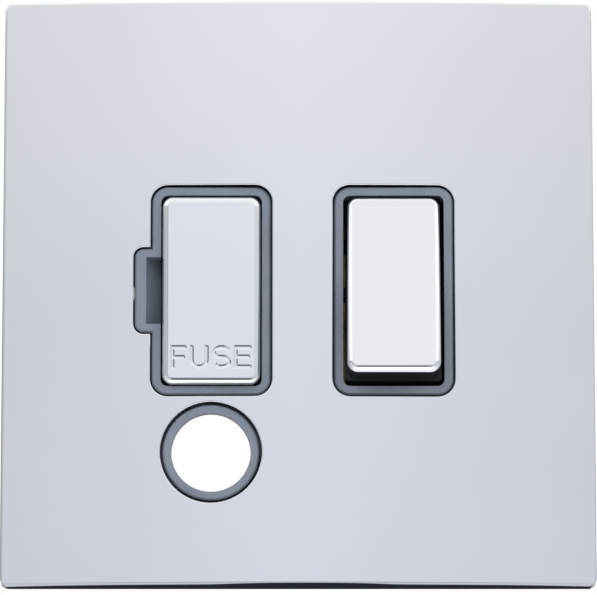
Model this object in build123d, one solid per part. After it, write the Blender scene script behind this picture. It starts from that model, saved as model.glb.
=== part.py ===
from build123d import *
import os
from math import atan2, cos, degrees, hypot, radians, sin, sqrt

# The frame: X to the right and Z up as seen from the room, Y into the wall.
# Y = 0 is the wall surface, and the origin is midway between the two fixing screws.

# Front plate: pressed sheet, crowned from side to side
PLATE_SIZE = 90.0
PLATE_DEPTH = 6.0
PLATE_CROWN = 1.6
PLATE_SHEET = 1.5
PLATE_CORNER_R = 1.0
PLATE_EDGE_R = 0.8
PLATE_GAP = 0.25
OUTLET_GAP = 0.4

# Places on the face, from the body's sides, the fuse collar and the body's bottom
FUSE_SIDE = 2.8
ROCKER_SIDE = 1.5
OUTLET_DROP = 1.55
OUTLET_SILL = 1.3

# Moulded collars that stand in the plate's openings
COLLAR_W = 18.0
COLLAR_R = 2.4
COLLAR_WALL = 1.33
COLLAR_SINK = 0.6
COLLAR_EDGE = 0.25
NOTCH_REACH = 2.6
NOTCH_H = 12.9
NOTCH_R = 1.3
NOTCH_WALL = 1.7
NOTCH_SHALLOW = 1.0
NOTCH_DEEP = 3.0
OUTLET_BORE_R = 6.0
OUTLET_WALL = 1.3
OUTLET_FLARE = 0.9
OUTLET_FLARE_L = 2.4

# Wall fixing and mounting frame
FIXING_CENTRES = 60.3
FIXING_SIDE = 5.15
FIXING_HOLE_R = 2.0
FIXING_CLEAR_R = 5.2
FRAME_EDGE_GAP = 1.5
FRAME_SHEET = 1.5
FRAME_R = 3.0
FRAME_CLEAR = 0.3
CLIP_SHEET = 0.4
CLIP_W = 9.0
CLIP_X = 22.0
CLIP_FOOT = 5.0
CLIP_CLEAR = 0.3
CLIP_TOP_GAP = 1.1
CLIP_BOW = 1.0
CLIP_GAP = 0.1

# Housing moulding and its rear cover
BODY_TOP = 20.0
BODY_DEPTH = 13.0
BODY_WALL = 1.6
FLANGE_T = 1.5
FLANGE_SIDE = 5.0
FLANGE_MARGIN = 2.6
FLANGE_R = 2.0
DECK_T = 1.6
COVER_DEPTH = 3.8
COVER_WALL = 1.6
CORD_BAY_SIDE = 0.7
CORD_BAY_SILL = 1.2
COVER_STEP_GAP = 1.4
RIB_T = 1.2

# Rocker
ROCKER_SIDE_GAP = 0.62
ROCKER_END_GAP = 0.72
ROCKER_R = 1.2
ROCKER_DRAFT = 4.0
ROCKER_SKIRT = 4.6
ROCKER_PROUD = 2.2
ROCKER_PIVOT_DEPTH = 6.2
ROCKER_SWING = 16.0
ROCKER_EDGE_R = 0.8
ROCKER_CAP_DEPTH = 1.1
ROCKER_CAP_LIP = 0.15
SKIN = 0.8
DOLLY_WALL = 1.2
HUB_R = 2.4
HUB_CLEAR = 0.15
DRUM_GAP = 0.4
DRUM_WALL = 1.0
DRUM_LAP = 0.2
DRUM_BACK = 3.0
PIN_R = 1.2
PIN_REACH = 0.9
RUN_FIT = 0.06

# Plungers, springs and see-saw contacts
POLE_PITCH = 7.2
PLUNGER_R = 1.45
PLUNGER_TAIL = 3.6
PLUNGER_TIP_R = 0.2
PLUNGER_CLEAR = 0.1
PLUNGER_GAP = 0.05
TUBE_WALL = 0.85
TUBE_LENGTH = 6.6
SPRING_SEAT = -0.6
SPRING_WIRE_R = 0.18
SPRING_CLEAR = 0.15
SPRING_TURNS = 4
ARM_W = 4.6
ARM_REACH = 9.0
ARM_T = 1.0
ARM_BAR_R = 0.7
ARM_BAR_DROP = 0.55
ARM_SWING = 14.0
CONTACT_INSET = 1.4
CONTACT_R = 1.3
CONTACT_T = 0.4
CONTACT_GAP = 0.06
SADDLE_W = 3.4
SADDLE_H = 3.0
SADDLE_DEPTH = 1.5

# Fuse drawer and cartridge fuse
FUSE_CAP_SIDE_GAP = 0.22
FUSE_CAP_END_GAP = 0.32
FUSE_CAP_R = 1.3
FUSE_CAP_SKIRT = 2.4
FUSE_CAP_EDGE_R = 0.6
FUSE_PROUD = 1.2
DRAWER_FRONT_T = 2.0
DRAWER_WALL = 1.2
DRAWER_END_GAP = 0.8
LIP_H = 10.0
STOP_H = 4.0
STOP_L = 1.4
STOP_REACH = 0.5
STOP_CLEAR = 0.2
STOP_LIP = 1.4
FUSE_R = 3.175
FUSE_LENGTH = 25.4
FUSE_END_L = 5.6
FUSE_END_T = 0.28
FUSE_END_GAP = 0.5
FUSE_CLEAR = 0.075
SADDLE_LIP = 1.2
CRADLE_GAP = 1.8
CRADLE_FLOOR = 1.35
CRADLE_WALL = 1.0

# Stamped links and terminals
LINK_T = 0.7
LINK_W = 3.0
JAW_INSET = 2.9
JAW_W = 5.0
JAW_PAST = 1.2
JAW_FLARE = 0.5
JAW_FLARE_L = 1.2
SLOT_CLEAR = 0.3
LINK_TOP_RISE = 3.2
LOAD_NEUTRAL_SIDE = 4.7
TERMINALS = 4
TERMINAL_PITCH = 6.4
TERMINAL_SIDE = 4.0
TERMINAL_W = 5.4
TERMINAL_H = 8.0
TERMINAL_D = 7.4
TERMINAL_EDGE = 0.5
TERMINAL_RISE = 1.5
WIRE_R = 2.0
WIRE_WALL = 1.0
BARRIER_T = 0.7
BARRIER_D = 7.0
EARTH_X = -13.0
EARTH_GAP = 2.7

# Screws
TERMINAL_SCREW_R = 1.6
TERMINAL_HEAD_R = 2.3
TERMINAL_HEAD_T = 1.4
SCREW_R = 1.1
SCREW_HEAD_R = 2.0
SCREW_HEAD_T = 1.3
LOW_HEAD_T = 0.7
SCREW_FIT = 0.05
SCREW_SLOT_W = 0.6
SCREW_SLOT_D = 0.45
BOSS_R = 2.2
BOSS_INSET = 2.6
COVER_SCREW_TIP = 6.0
FRAME_SCREW_SIDE = 2.6
FRAME_SCREW_HIGH = 17.0
FRAME_SCREW_LOW = -20.0
HEAD_FIT = 0.15

# Cord grip
GRIP_GAP = 3.5
GRIP_W = 5.0
GRIP_SPAN = 22.0
GRIP_T = 2.2
GRIP_CORD_R = 4.0
GRIP_RISE = 1.6
GRIP_SCREW_X = 8.6
GRIP_BOSS_FLOOR = 0.6

# Sizes of what fits in the collars
OPENING_W = COLLAR_W - 2 * COLLAR_WALL
OPENING_R = COLLAR_R - COLLAR_WALL
FUSE_CAP_W = OPENING_W - 2 * FUSE_CAP_SIDE_GAP
FUSE_CAP_H = FUSE_LENGTH + 2 * (FUSE_END_GAP + DRAWER_WALL)
OPENING_H = FUSE_CAP_H + 2 * FUSE_CAP_END_GAP
COLLAR_H = OPENING_H + 2 * COLLAR_WALL
ROCKER_W = OPENING_W - 2 * ROCKER_SIDE_GAP
ROCKER_H = OPENING_H - 2 * ROCKER_END_GAP
OUTLET_R = OUTLET_BORE_R + OUTLET_WALL

# Levels along Y
COLLAR_Y = COLLAR_SINK - PLATE_DEPTH
FLANGE_Y = -FRAME_SHEET - FLANGE_T
DECK_Y = BODY_DEPTH - DECK_T
LINK_BACK = BODY_DEPTH + LINK_T
COVER_Y = BODY_DEPTH + COVER_DEPTH
GRIP_SCREW_TIP = LINK_BACK + GRIP_BOSS_FLOOR
ROCKER_FACE_Y = COLLAR_Y - ROCKER_PROUD
PIVOT_Y = ROCKER_FACE_Y + ROCKER_PIVOT_DEPTH
ARM_AXIS_Y = BODY_DEPTH - SADDLE_DEPTH
ARM_FRONT_Y = ARM_AXIS_Y - ARM_BAR_DROP - ARM_T
PLUNGER_LENGTH = ARM_FRONT_Y - PLUNGER_GAP - PIVOT_Y
FUSE_CAP_Y = COLLAR_Y - FUSE_PROUD
DRAWER_Y = FUSE_CAP_Y + FUSE_CAP_SKIRT
DRAWER_BACK_Y = DRAWER_Y + DRAWER_FRONT_T
DRAWER_TAIL = DECK_Y - DRAWER_END_GAP
STOP_Y = COLLAR_Y + STOP_LIP
FUSE_Y = DRAWER_BACK_Y + CRADLE_FLOOR + FUSE_CLEAR + FUSE_R

# Places across and up
BODY_W = FIXING_CENTRES - 2 * FIXING_SIDE
FLANGE_W = BODY_W + 2 * FLANGE_SIDE
FRAME_SIZE = PLATE_SIZE - 2 * (PLATE_SHEET + FRAME_EDGE_GAP)
CLIP_Z = PLATE_SIZE / 2 - PLATE_SHEET - CLIP_GAP - CLIP_SHEET - CLIP_BOW
FUSE_X = FUSE_SIDE + COLLAR_W / 2 - BODY_W / 2
ROCKER_X = BODY_W / 2 - COLLAR_W / 2 - ROCKER_SIDE
NEUTRAL_X = ROCKER_X - POLE_PITCH / 2
LIVE_X = ROCKER_X + POLE_PITCH / 2
LOAD_NEUTRAL_X = NEUTRAL_X - LOAD_NEUTRAL_SIDE
CONTACT_Z = ARM_REACH - CONTACT_INSET
JAW_Z = FUSE_LENGTH / 2 - JAW_INSET
CRADLE_L = 2 * (JAW_Z - JAW_W / 2 - CRADLE_GAP)
LINK_TOP_Z = JAW_Z + LINK_TOP_RISE
OUTLET_Z = -COLLAR_H / 2 - OUTLET_DROP - OUTLET_R
GRIP_Z = OUTLET_Z + OUTLET_R + GRIP_GAP + GRIP_W / 2
BODY_BOTTOM = OUTLET_Z - OUTLET_R - OUTLET_SILL
CORD_BAY_TOP = GRIP_Z - GRIP_W / 2 - CORD_BAY_SILL
CORD_BAY_HALF = OUTLET_BORE_R + CORD_BAY_SIDE
TERMINAL_Z = BODY_BOTTOM + TERMINAL_RISE + TERMINAL_H / 2
TERMINAL_XS = [BODY_W / 2 - TERMINAL_SIDE - TERMINAL_PITCH * i for i in reversed(range(TERMINALS))]
EARTH_Z = BODY_TOP + FRAME_CLEAR + EARTH_GAP + TERMINAL_H / 2
LINK_LEAVE_Z = TERMINAL_Z + TERMINAL_H / 2
LINK_BEND_Z = LINK_LEAVE_Z + 2 * LINK_W
COVER_STEP_Z = LINK_LEAVE_Z + COVER_STEP_GAP
FRAME_SCREW_X = BODY_W / 2 + FRAME_SCREW_SIDE
FRAME_SCREW_ZS = (FRAME_SCREW_HIGH, FRAME_SCREW_LOW)
BODY_MID_Z = (BODY_TOP + BODY_BOTTOM) / 2
COVER_SCREWS = [
    (BOSS_INSET - BODY_W / 2, BODY_TOP - BOSS_INSET),
    (BODY_W / 2 - BOSS_INSET, BODY_TOP - BOSS_INSET),
    (BOSS_INSET - BODY_W / 2, BODY_BOTTOM + BOSS_INSET),
    (BODY_W / 2 - BOSS_INSET, COVER_STEP_Z + 2 * BOSS_INSET),
]


def across(sketch, y0, y1):
    """Extrude an outline drawn as seen from the room between two depths."""
    back = max(y0, y1)
    return extrude(Plane.XZ.offset(-back) * sketch, amount=abs(y1 - y0))


def upright(sketch, z0, z1):
    """Extrude an outline drawn in plan between two heights."""
    return extrude(Plane.XY.offset(z0) * sketch, amount=z1 - z0)


def sideways(sketch, x0, x1):
    """Extrude an outline drawn in depth and height between two places across."""
    return extrude(Plane.YZ.offset(x0) * sketch, amount=x1 - x0)


def block(x0, x1, y0, y1, z0, z1):
    """A rectangular solid between the given faces."""
    middle = Pos((x0 + x1) / 2, (y0 + y1) / 2, (z0 + z1) / 2)
    return middle * Box(x1 - x0, y1 - y0, z1 - z0)


def post(x, z, radius, y0, y1):
    """A round post along the depth."""
    return across(Pos(x, z) * Circle(radius), y0, y1)


def screw(x, z, tip, seat, shank_r, head_r, head_t):
    """A slotted screw along the depth, from its tip to the seat under its head."""
    out = 1 if seat > tip else -1
    top = seat + out * head_t
    solid = post(x, z, shank_r, tip, seat) + post(x, z, head_r, seat, top)
    slot = Pos(x, z) * Rectangle(2 * head_r, SCREW_SLOT_W)
    return solid - across(slot, top - out * SCREW_SLOT_D, top)


def strip(points):
    """Outline of a flat stamped strip along a row of points, with round ends."""
    outline = Sketch()
    for (x0, z0), (x1, z1) in zip(points, points[1:]):
        turn = degrees(atan2(z1 - z0, x1 - x0))
        run = SlotCenterToCenter(hypot(x1 - x0, z1 - z0), LINK_W)
        outline += Pos((x0 + x1) / 2, (z0 + z1) / 2) * Rot(0, 0, turn) * run
    return outline


def crown_profile(half, middle, sag):
    """Plan outline of the crowned plate: an arc in front, square sides and a flat back."""
    arc = ThreePointArc((-half, sag - middle), (0, -middle), (half, sag - middle))
    sides = Polyline((half, sag - middle), (half, 0), (-half, 0), (-half, sag - middle))
    return make_face(arc + sides)


def fuse_outline(grow, corner):
    """Collar outline with its notch on the left, grown evenly all round."""
    collar = RectangleRounded(COLLAR_W + 2 * grow, COLLAR_H + 2 * grow, corner + grow)
    notch_w = NOTCH_REACH + COLLAR_R + NOTCH_R
    notch = RectangleRounded(notch_w + 2 * grow, NOTCH_H + 2 * grow, NOTCH_R + grow)
    notch_x = notch_w / 2 - NOTCH_REACH - COLLAR_W / 2
    return Pos(FUSE_X, 0) * (collar + Pos(notch_x, 0) * notch)


def front_plate():
    """Chromed tray with openings for the fuse drawer, the rocker and the cord."""
    half = PLATE_SIZE / 2
    plate = upright(crown_profile(half, PLATE_DEPTH, PLATE_CROWN), -half, half)
    plate = fillet(plate.edges().filter_by(Axis.Y), PLATE_CORNER_R)
    plate = fillet(plate.faces().sort_by(Axis.Y)[0].edges(), PLATE_EDGE_R)
    radius = (half**2 + PLATE_CROWN**2) / (2 * PLATE_CROWN) - PLATE_SHEET
    inner = half - PLATE_SHEET
    sag = radius - sqrt(radius**2 - inner**2)
    plate -= upright(crown_profile(inner, PLATE_DEPTH - PLATE_SHEET, sag), -inner, inner)
    openings = fuse_outline(PLATE_GAP, COLLAR_R)
    openings += Pos(ROCKER_X, 0) * RectangleRounded(
        COLLAR_W + 2 * PLATE_GAP, COLLAR_H + 2 * PLATE_GAP, COLLAR_R + PLATE_GAP
    )
    openings += Pos(FUSE_X, OUTLET_Z) * Circle(OUTLET_R + OUTLET_GAP)
    return plate - across(openings, -PLATE_DEPTH, 0)


def mounting_frame():
    """Steel yoke that the wall screws hold and the plate clips on to."""
    outline = RectangleRounded(FRAME_SIZE, FRAME_SIZE, FRAME_R)
    opening = RectangleRounded(
        BODY_W + 2 * FRAME_CLEAR, BODY_TOP - BODY_BOTTOM + 2 * FRAME_CLEAR, PLATE_CORNER_R
    )
    outline -= Pos(0, BODY_MID_Z) * opening
    for side in (-1, 1):
        outline -= Pos(side * FIXING_CENTRES / 2, 0) * Circle(FIXING_HOLE_R)
        for z in FRAME_SCREW_ZS:
            outline -= Pos(side * FRAME_SCREW_X, z) * Circle(SCREW_R + SCREW_FIT)
    return across(outline, -FRAME_SHEET, 0)


def plate_clips():
    """Four bowed spring leaves on the frame that grip the plate's turned edge."""
    base = -FRAME_SHEET
    top = PLATE_SHEET + CLIP_TOP_GAP - PLATE_DEPTH
    leaf = Polyline((base, CLIP_Z - CLIP_FOOT), (base, CLIP_Z)) + ThreePointArc(
        (base, CLIP_Z), ((base + top) / 2, CLIP_Z + CLIP_BOW), (top, CLIP_Z)
    )
    section = make_face(offset(leaf, CLIP_SHEET, side=Side.LEFT))
    upper = sideways(section, -CLIP_W / 2, CLIP_W / 2)
    lower = mirror(upper, Plane.XY)
    return Compound([Pos(x, 0, 0) * leaf for leaf in (upper, lower) for x in (-CLIP_X, CLIP_X)])


def frame_screws():
    """Four low-headed screws, sunk in the housing flange, that hold it to the frame."""
    return Compound([
        screw(side * FRAME_SCREW_X, z, 0, FLANGE_Y + LOW_HEAD_T, SCREW_R, SCREW_HEAD_R, LOW_HEAD_T)
        for side in (-1, 1) for z in FRAME_SCREW_ZS
    ])


def notch_pocket():
    """Ramped pocket beside the fuse drawer that takes a screwdriver tip."""
    left = FUSE_X - COLLAR_W / 2 - NOTCH_REACH + NOTCH_WALL
    right = FUSE_X - OPENING_W / 2
    ramp = Polyline(
        (left, COLLAR_Y), (left, COLLAR_Y + NOTCH_SHALLOW),
        (right, COLLAR_Y + NOTCH_DEEP), (right, COLLAR_Y), close=True,
    )
    reach = NOTCH_H / 2 - NOTCH_R
    return upright(make_face(ramp), -reach, reach)


def collar_edges(solid):
    """The outer rims of the three collars."""
    return solid.faces().sort_by(Axis.Y)[:3].edges()


def front_housing():
    """Grey moulding: flange, collars, fuse chamber, switch chamber and flared cord outlet."""
    body_h = BODY_TOP - BODY_BOTTOM
    middle = Pos(0, BODY_MID_Z)
    solid = across(middle * Rectangle(BODY_W, body_h), FLANGE_Y, BODY_DEPTH)
    cavity = middle * Rectangle(BODY_W - 2 * BODY_WALL, body_h - 2 * BODY_WALL)
    solid -= across(cavity, -FRAME_SHEET, BODY_DEPTH)
    flange = middle * RectangleRounded(FLANGE_W, body_h + 2 * FLANGE_MARGIN, FLANGE_R)
    for side in (-1, 1):
        flange -= Pos(side * FIXING_CENTRES / 2, 0) * Circle(FIXING_CLEAR_R)
        for z in (-CLIP_Z, CLIP_Z):
            clip_foot = Rectangle(CLIP_W + 2 * CLIP_CLEAR, 2 * (CLIP_FOOT + CLIP_CLEAR))
            flange -= Pos(side * CLIP_X, z) * clip_foot
    solid += across(flange, FLANGE_Y, -FRAME_SHEET)

    rocker_collar = Pos(ROCKER_X, 0) * RectangleRounded(COLLAR_W, COLLAR_H, COLLAR_R)
    solid += across(fuse_outline(0, COLLAR_R), COLLAR_Y, -FRAME_SHEET)
    solid += across(Pos(FUSE_X, 0) * RectangleRounded(COLLAR_W, COLLAR_H, COLLAR_R),
                    -FRAME_SHEET, BODY_DEPTH)
    solid += across(rocker_collar, COLLAR_Y, BODY_DEPTH)
    solid += post(FUSE_X, OUTLET_Z, OUTLET_R, COLLAR_Y, -FRAME_SHEET)
    solid = chamfer(collar_edges(solid), COLLAR_EDGE)
    for x, z in COVER_SCREWS:
        solid += post(x, z, BOSS_R, COVER_SCREW_TIP - BOSS_R, BODY_DEPTH)
    shelf_left = TERMINAL_XS[0] - TERMINAL_PITCH / 2 - BARRIER_T / 2
    shelf_right = BODY_W / 2 - BODY_WALL
    shelf_top = TERMINAL_Z + TERMINAL_H / 2
    solid += block(shelf_left, shelf_right, DECK_Y, BODY_DEPTH, BODY_BOTTOM, COVER_STEP_Z)
    for i in range(len(TERMINAL_XS) + 1):
        x = TERMINAL_XS[0] + (i - 0.5) * TERMINAL_PITCH
        solid += block(x - BARRIER_T / 2, x + BARRIER_T / 2, BODY_DEPTH,
                       BODY_DEPTH + BARRIER_D, BODY_BOTTOM, shelf_top)

    opening = RectangleRounded(OPENING_W, OPENING_H, OPENING_R)
    solid -= across(Pos(FUSE_X, 0) * opening, COLLAR_Y, DECK_Y)
    solid -= across(Pos(ROCKER_X, 0) * opening, COLLAR_Y, BODY_DEPTH)
    solid -= post(FUSE_X, OUTLET_Z, OUTLET_BORE_R, COLLAR_Y, -FRAME_SHEET)
    flare = Rot(-90, 0, 0) * Cone(OUTLET_BORE_R, OUTLET_BORE_R + OUTLET_FLARE, OUTLET_FLARE_L)
    solid -= Pos(FUSE_X, -FRAME_SHEET - OUTLET_FLARE_L / 2, OUTLET_Z) * flare
    solid -= notch_pocket()
    wall_x = FUSE_X + OPENING_W / 2
    groove = STOP_H / 2 + STOP_CLEAR
    nib_x = FUSE_X + FUSE_CAP_W / 2 + STOP_REACH
    solid -= block(wall_x - STOP_CLEAR, nib_x + STOP_CLEAR, STOP_Y, DECK_Y, -groove, groove)
    pin = OPENING_W / 2 + PIN_REACH + RUN_FIT
    solid -= sideways(Pos(PIVOT_Y, 0) * Circle(PIN_R + RUN_FIT), ROCKER_X - pin, ROCKER_X + pin)
    for z in (-JAW_Z, JAW_Z):
        for side in (-1, 1):
            jaw_x = FUSE_X + side * (FUSE_R + FUSE_CLEAR + LINK_T / 2)
            slot_w = LINK_T / 2 + SLOT_CLEAR
            slot_h = JAW_W / 2 + SLOT_CLEAR
            solid -= block(jaw_x - slot_w, jaw_x + slot_w, DECK_Y, BODY_DEPTH,
                           z - slot_h, z + slot_h)
    for x, z in COVER_SCREWS:
        solid -= post(x, z, SCREW_R + SCREW_FIT, COVER_SCREW_TIP, BODY_DEPTH)
    for side in (-1, 1):
        for z in FRAME_SCREW_ZS:
            x = side * FRAME_SCREW_X
            solid -= post(x, z, SCREW_R + SCREW_FIT, FLANGE_Y, -FRAME_SHEET)
            solid -= post(x, z, SCREW_HEAD_R + HEAD_FIT, FLANGE_Y, FLANGE_Y + LOW_HEAD_T)
    return solid


def cover_outline(inset):
    """Outline of the rear cover, cut back to leave the terminals and the cord's bay open."""
    left = inset - BODY_W / 2
    right = BODY_W / 2 - inset
    bay_left = FUSE_X - CORD_BAY_HALF - inset
    bay_right = FUSE_X + CORD_BAY_HALF + inset
    bay_top = CORD_BAY_TOP + inset
    step_z = COVER_STEP_Z + inset
    top = BODY_TOP - inset
    low = BODY_BOTTOM + inset
    return make_face(Polyline((left, top), (right, top), (right, step_z), (bay_right, step_z),
                              (bay_right, bay_top), (bay_left, bay_top), (bay_left, low), (left, low),
                              close=True))


def rear_cover():
    """Grey cover that traps the links, with an open bay for the cord and seats for the cord grip."""
    solid = across(cover_outline(0), BODY_DEPTH, COVER_Y)
    solid -= across(cover_outline(COVER_WALL), BODY_DEPTH, COVER_Y - COVER_WALL)
    for x, z in COVER_SCREWS:
        solid += post(x, z, BOSS_R, BODY_DEPTH, COVER_Y)
    inside = COVER_Y - COVER_WALL
    for side in (-1, 1):
        solid += post(FUSE_X + side * GRIP_SCREW_X, GRIP_Z, BOSS_R, LINK_BACK, inside)
    for z in (-JAW_Z, JAW_Z):
        solid += block(FUSE_X - LINK_W / 2, FUSE_X + LINK_W / 2, LINK_BACK, inside,
                       z - LINK_W / 2, z + LINK_W / 2)
    clamp_z = COVER_STEP_Z + 2 * COVER_WALL + RIB_T
    solid += block(TERMINAL_XS[0] - LINK_W / 2, LIVE_X + LINK_W / 2, LINK_BACK, inside,
                   clamp_z - RIB_T / 2, clamp_z + RIB_T / 2)
    solid += block(NEUTRAL_X - LINK_W / 2, LIVE_X + LINK_W / 2, LINK_BACK, inside,
                   CONTACT_Z - RIB_T / 2, CONTACT_Z + RIB_T / 2)
    solid -= block(TERMINAL_XS[0] - TERMINAL_W / 2, TERMINAL_XS[3] + TERMINAL_W / 2, BODY_DEPTH,
                   LINK_BACK, COVER_STEP_Z, COVER_STEP_Z + COVER_WALL)
    for x, z in COVER_SCREWS:
        solid -= post(x, z, SCREW_R + SCREW_FIT, BODY_DEPTH, COVER_Y)
    for side in (-1, 1):
        grip_x = FUSE_X + side * GRIP_SCREW_X
        solid -= post(grip_x, GRIP_Z, SCREW_R + SCREW_FIT, GRIP_SCREW_TIP, COVER_Y)
    return solid


def cover_screws():
    """Four screws that hold the rear cover to the housing."""
    return Compound([
        screw(x, z, COVER_SCREW_TIP, COVER_Y, SCREW_R, SCREW_HEAD_R, SCREW_HEAD_T)
        for x, z in COVER_SCREWS
    ])


def fuse_cap_core():
    """Nose of the drawer that the chrome cap is pressed over."""
    core = RectangleRounded(FUSE_CAP_W - 2 * SKIN, FUSE_CAP_H - 2 * SKIN, FUSE_CAP_R - SKIN)
    return across(Pos(FUSE_X, 0) * core, FUSE_CAP_Y + SKIN, DRAWER_Y)


def fuse_cap():
    """Chrome cap on the front of the fuse drawer."""
    outline = Pos(FUSE_X, 0) * RectangleRounded(FUSE_CAP_W, FUSE_CAP_H, FUSE_CAP_R)
    cap = across(outline, FUSE_CAP_Y, DRAWER_Y)
    cap = fillet(cap.faces().sort_by(Axis.Y)[0].edges(), FUSE_CAP_EDGE_R)
    return cap - fuse_cap_core()


def fuse_drawer():
    """Sliding carrier: nose, front wall, rails, a side wall with a stop nib and the fuse cradle."""
    half_w = FUSE_CAP_W / 2
    half_h = FUSE_CAP_H / 2
    outline = Pos(FUSE_X, 0) * RectangleRounded(FUSE_CAP_W, FUSE_CAP_H, FUSE_CAP_R)
    solid = fuse_cap_core() + across(outline, DRAWER_Y, DRAWER_TAIL)
    room = FUSE_X - half_w
    solid -= block(room, FUSE_X + half_w - DRAWER_WALL, DRAWER_BACK_Y, DRAWER_TAIL,
                   DRAWER_WALL - half_h, half_h - DRAWER_WALL)
    solid -= block(room, room + DRAWER_WALL, DRAWER_Y, DRAWER_BACK_Y, -LIP_H / 2, LIP_H / 2)
    cradle_w = FUSE_R + FUSE_CLEAR + CRADLE_WALL
    cradle = block(FUSE_X - cradle_w, FUSE_X + cradle_w, DRAWER_BACK_Y, FUSE_Y + SADDLE_LIP,
                   -CRADLE_L / 2, CRADLE_L / 2)
    cradle -= upright(Pos(FUSE_X, FUSE_Y) * Circle(FUSE_R + FUSE_CLEAR), -CRADLE_L / 2, CRADLE_L / 2)
    nib = block(FUSE_X + half_w - DRAWER_WALL, FUSE_X + half_w + STOP_REACH,
                DRAWER_TAIL - STOP_L, DRAWER_TAIL, -STOP_H / 2, STOP_H / 2)
    return solid + cradle + nib


def fuse_tube():
    """Ceramic barrel of the cartridge fuse."""
    half = FUSE_LENGTH / 2 - FUSE_END_T
    return upright(Pos(FUSE_X, FUSE_Y) * Circle(FUSE_R - FUSE_END_T), -half, half)


def fuse_end_caps():
    """The two plated cups on the ends of the fuse."""
    half = FUSE_LENGTH / 2
    cup = upright(Pos(FUSE_X, FUSE_Y) * Circle(FUSE_R), half - FUSE_END_L, half) - fuse_tube()
    return Compound([cup, mirror(cup, Plane.XY)])


def tilt_rocker(solid):
    """Turn a rocker piece from level to its off position, with the bottom standing out."""
    return solid.rotate(Axis((ROCKER_X, PIVOT_Y, 0), (1, 0, 0)), -ROCKER_SWING / 2)


def drafted(outline, front):
    """Extrude an outline forward from the rocker's skirt with the mould's draft."""
    skirt_y = ROCKER_FACE_Y + ROCKER_SKIRT
    base = Plane.XZ.offset(-skirt_y) * (Pos(ROCKER_X, 0) * outline)
    return extrude(base, amount=skirt_y - front, taper=ROCKER_DRAFT)


def rocker_core():
    """Head of the rocker body that the chrome cap is pressed over."""
    core = RectangleRounded(ROCKER_W - 2 * SKIN, ROCKER_H - 2 * SKIN, ROCKER_R - SKIN)
    return drafted(core, ROCKER_FACE_Y + SKIN)


def rocker_cap():
    """Chrome cap of the rocker."""
    cap = drafted(RectangleRounded(ROCKER_W, ROCKER_H, ROCKER_R), ROCKER_FACE_Y)
    cap = fillet(cap.faces().sort_by(Axis.Y)[0].edges(), ROCKER_EDGE_R)
    skirt = Pos(ROCKER_X, 0) * Rectangle(ROCKER_W, ROCKER_H)
    cap -= across(skirt, ROCKER_FACE_Y + ROCKER_CAP_DEPTH, ROCKER_FACE_Y + ROCKER_SKIRT)
    return tilt_rocker(cap - rocker_core())


def rocker_drum():
    """Hollow drum round the rocker's foot that keeps the gap to the collar closed as it turns."""
    front = ROCKER_FACE_Y + ROCKER_SKIRT - DRUM_LAP
    back = PIVOT_Y + DRUM_BACK
    rings = []
    for inset in (DRUM_GAP, DRUM_GAP + DRUM_WALL):
        outline = RectangleRounded(
            OPENING_W - 2 * inset, OPENING_H - 2 * inset, max(OPENING_R - inset, RUN_FIT)
        )
        round_end = Pos(PIVOT_Y, 0) * Circle(OPENING_H / 2 - inset)
        drum = across(Pos(ROCKER_X, 0) * outline, front, back)
        rings.append(drum & sideways(round_end, ROCKER_X - OPENING_W / 2, ROCKER_X + OPENING_W / 2))
    return rings[0] - rings[1]


def rocker_dolly():
    """Moulded rocker body with its drum, pivot pins and two tubes for the plungers."""
    wall = SKIN + DOLLY_WALL
    pocket = Rectangle(ROCKER_W - 2 * wall, ROCKER_H - 2 * wall)
    skirt = RectangleRounded(
        ROCKER_W - 2 * ROCKER_CAP_LIP, ROCKER_H - 2 * ROCKER_CAP_LIP, ROCKER_R - ROCKER_CAP_LIP
    )
    head = rocker_core() + drafted(skirt, ROCKER_FACE_Y + ROCKER_CAP_DEPTH)
    head -= drafted(pocket, ROCKER_FACE_Y + wall)
    head += rocker_drum()
    hub_half = ROCKER_W / 2 - SKIN - HUB_CLEAR
    hub = sideways(Pos(PIVOT_Y, 0) * Circle(HUB_R), ROCKER_X - hub_half, ROCKER_X + hub_half)
    web = block(ROCKER_X - ROCKER_W / 2 + wall, ROCKER_X + ROCKER_W / 2 - wall,
                ROCKER_FACE_Y + wall, PIVOT_Y, -HUB_R, HUB_R)
    pin_half = OPENING_W / 2 + PIN_REACH
    pins = sideways(Pos(PIVOT_Y, 0) * Circle(PIN_R), ROCKER_X - pin_half, ROCKER_X + pin_half)
    dolly = head + hub + web + pins
    for x in (NEUTRAL_X, LIVE_X):
        bore = PLUNGER_R + PLUNGER_CLEAR
        dolly += post(x, 0, bore + TUBE_WALL, PIVOT_Y, PIVOT_Y + TUBE_LENGTH)
        dolly -= post(x, 0, bore, PIVOT_Y + SPRING_SEAT, PIVOT_Y + TUBE_LENGTH)
    return tilt_rocker(dolly)


def plunger(x):
    """Nylon plunger with a coned tip."""
    pin = post(x, 0, PLUNGER_R, PIVOT_Y + PLUNGER_TAIL, PIVOT_Y + PLUNGER_LENGTH)
    return tilt_rocker(chamfer(pin.edges().sort_by(Axis.Y)[-1], PLUNGER_R - PLUNGER_TIP_R))


def plunger_spring(x):
    """Coil spring between the bottom of the tube and the plunger's tail."""
    radius = PLUNGER_R - SPRING_CLEAR - SPRING_WIRE_R
    ends = SPRING_WIRE_R + PLUNGER_GAP
    height = PLUNGER_TAIL - SPRING_SEAT - 2 * ends
    path = Helix(pitch=height / SPRING_TURNS, height=height, radius=radius)
    section = Plane(path @ 0, z_dir=path % 0) * RegularPolygon(SPRING_WIRE_R, 4)
    coil = sweep(section, path=path, is_frenet=True)
    return tilt_rocker(Pos(x, PIVOT_Y + SPRING_SEAT + ends, 0) * Rot(-90, 0, 0) * coil)


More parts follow.
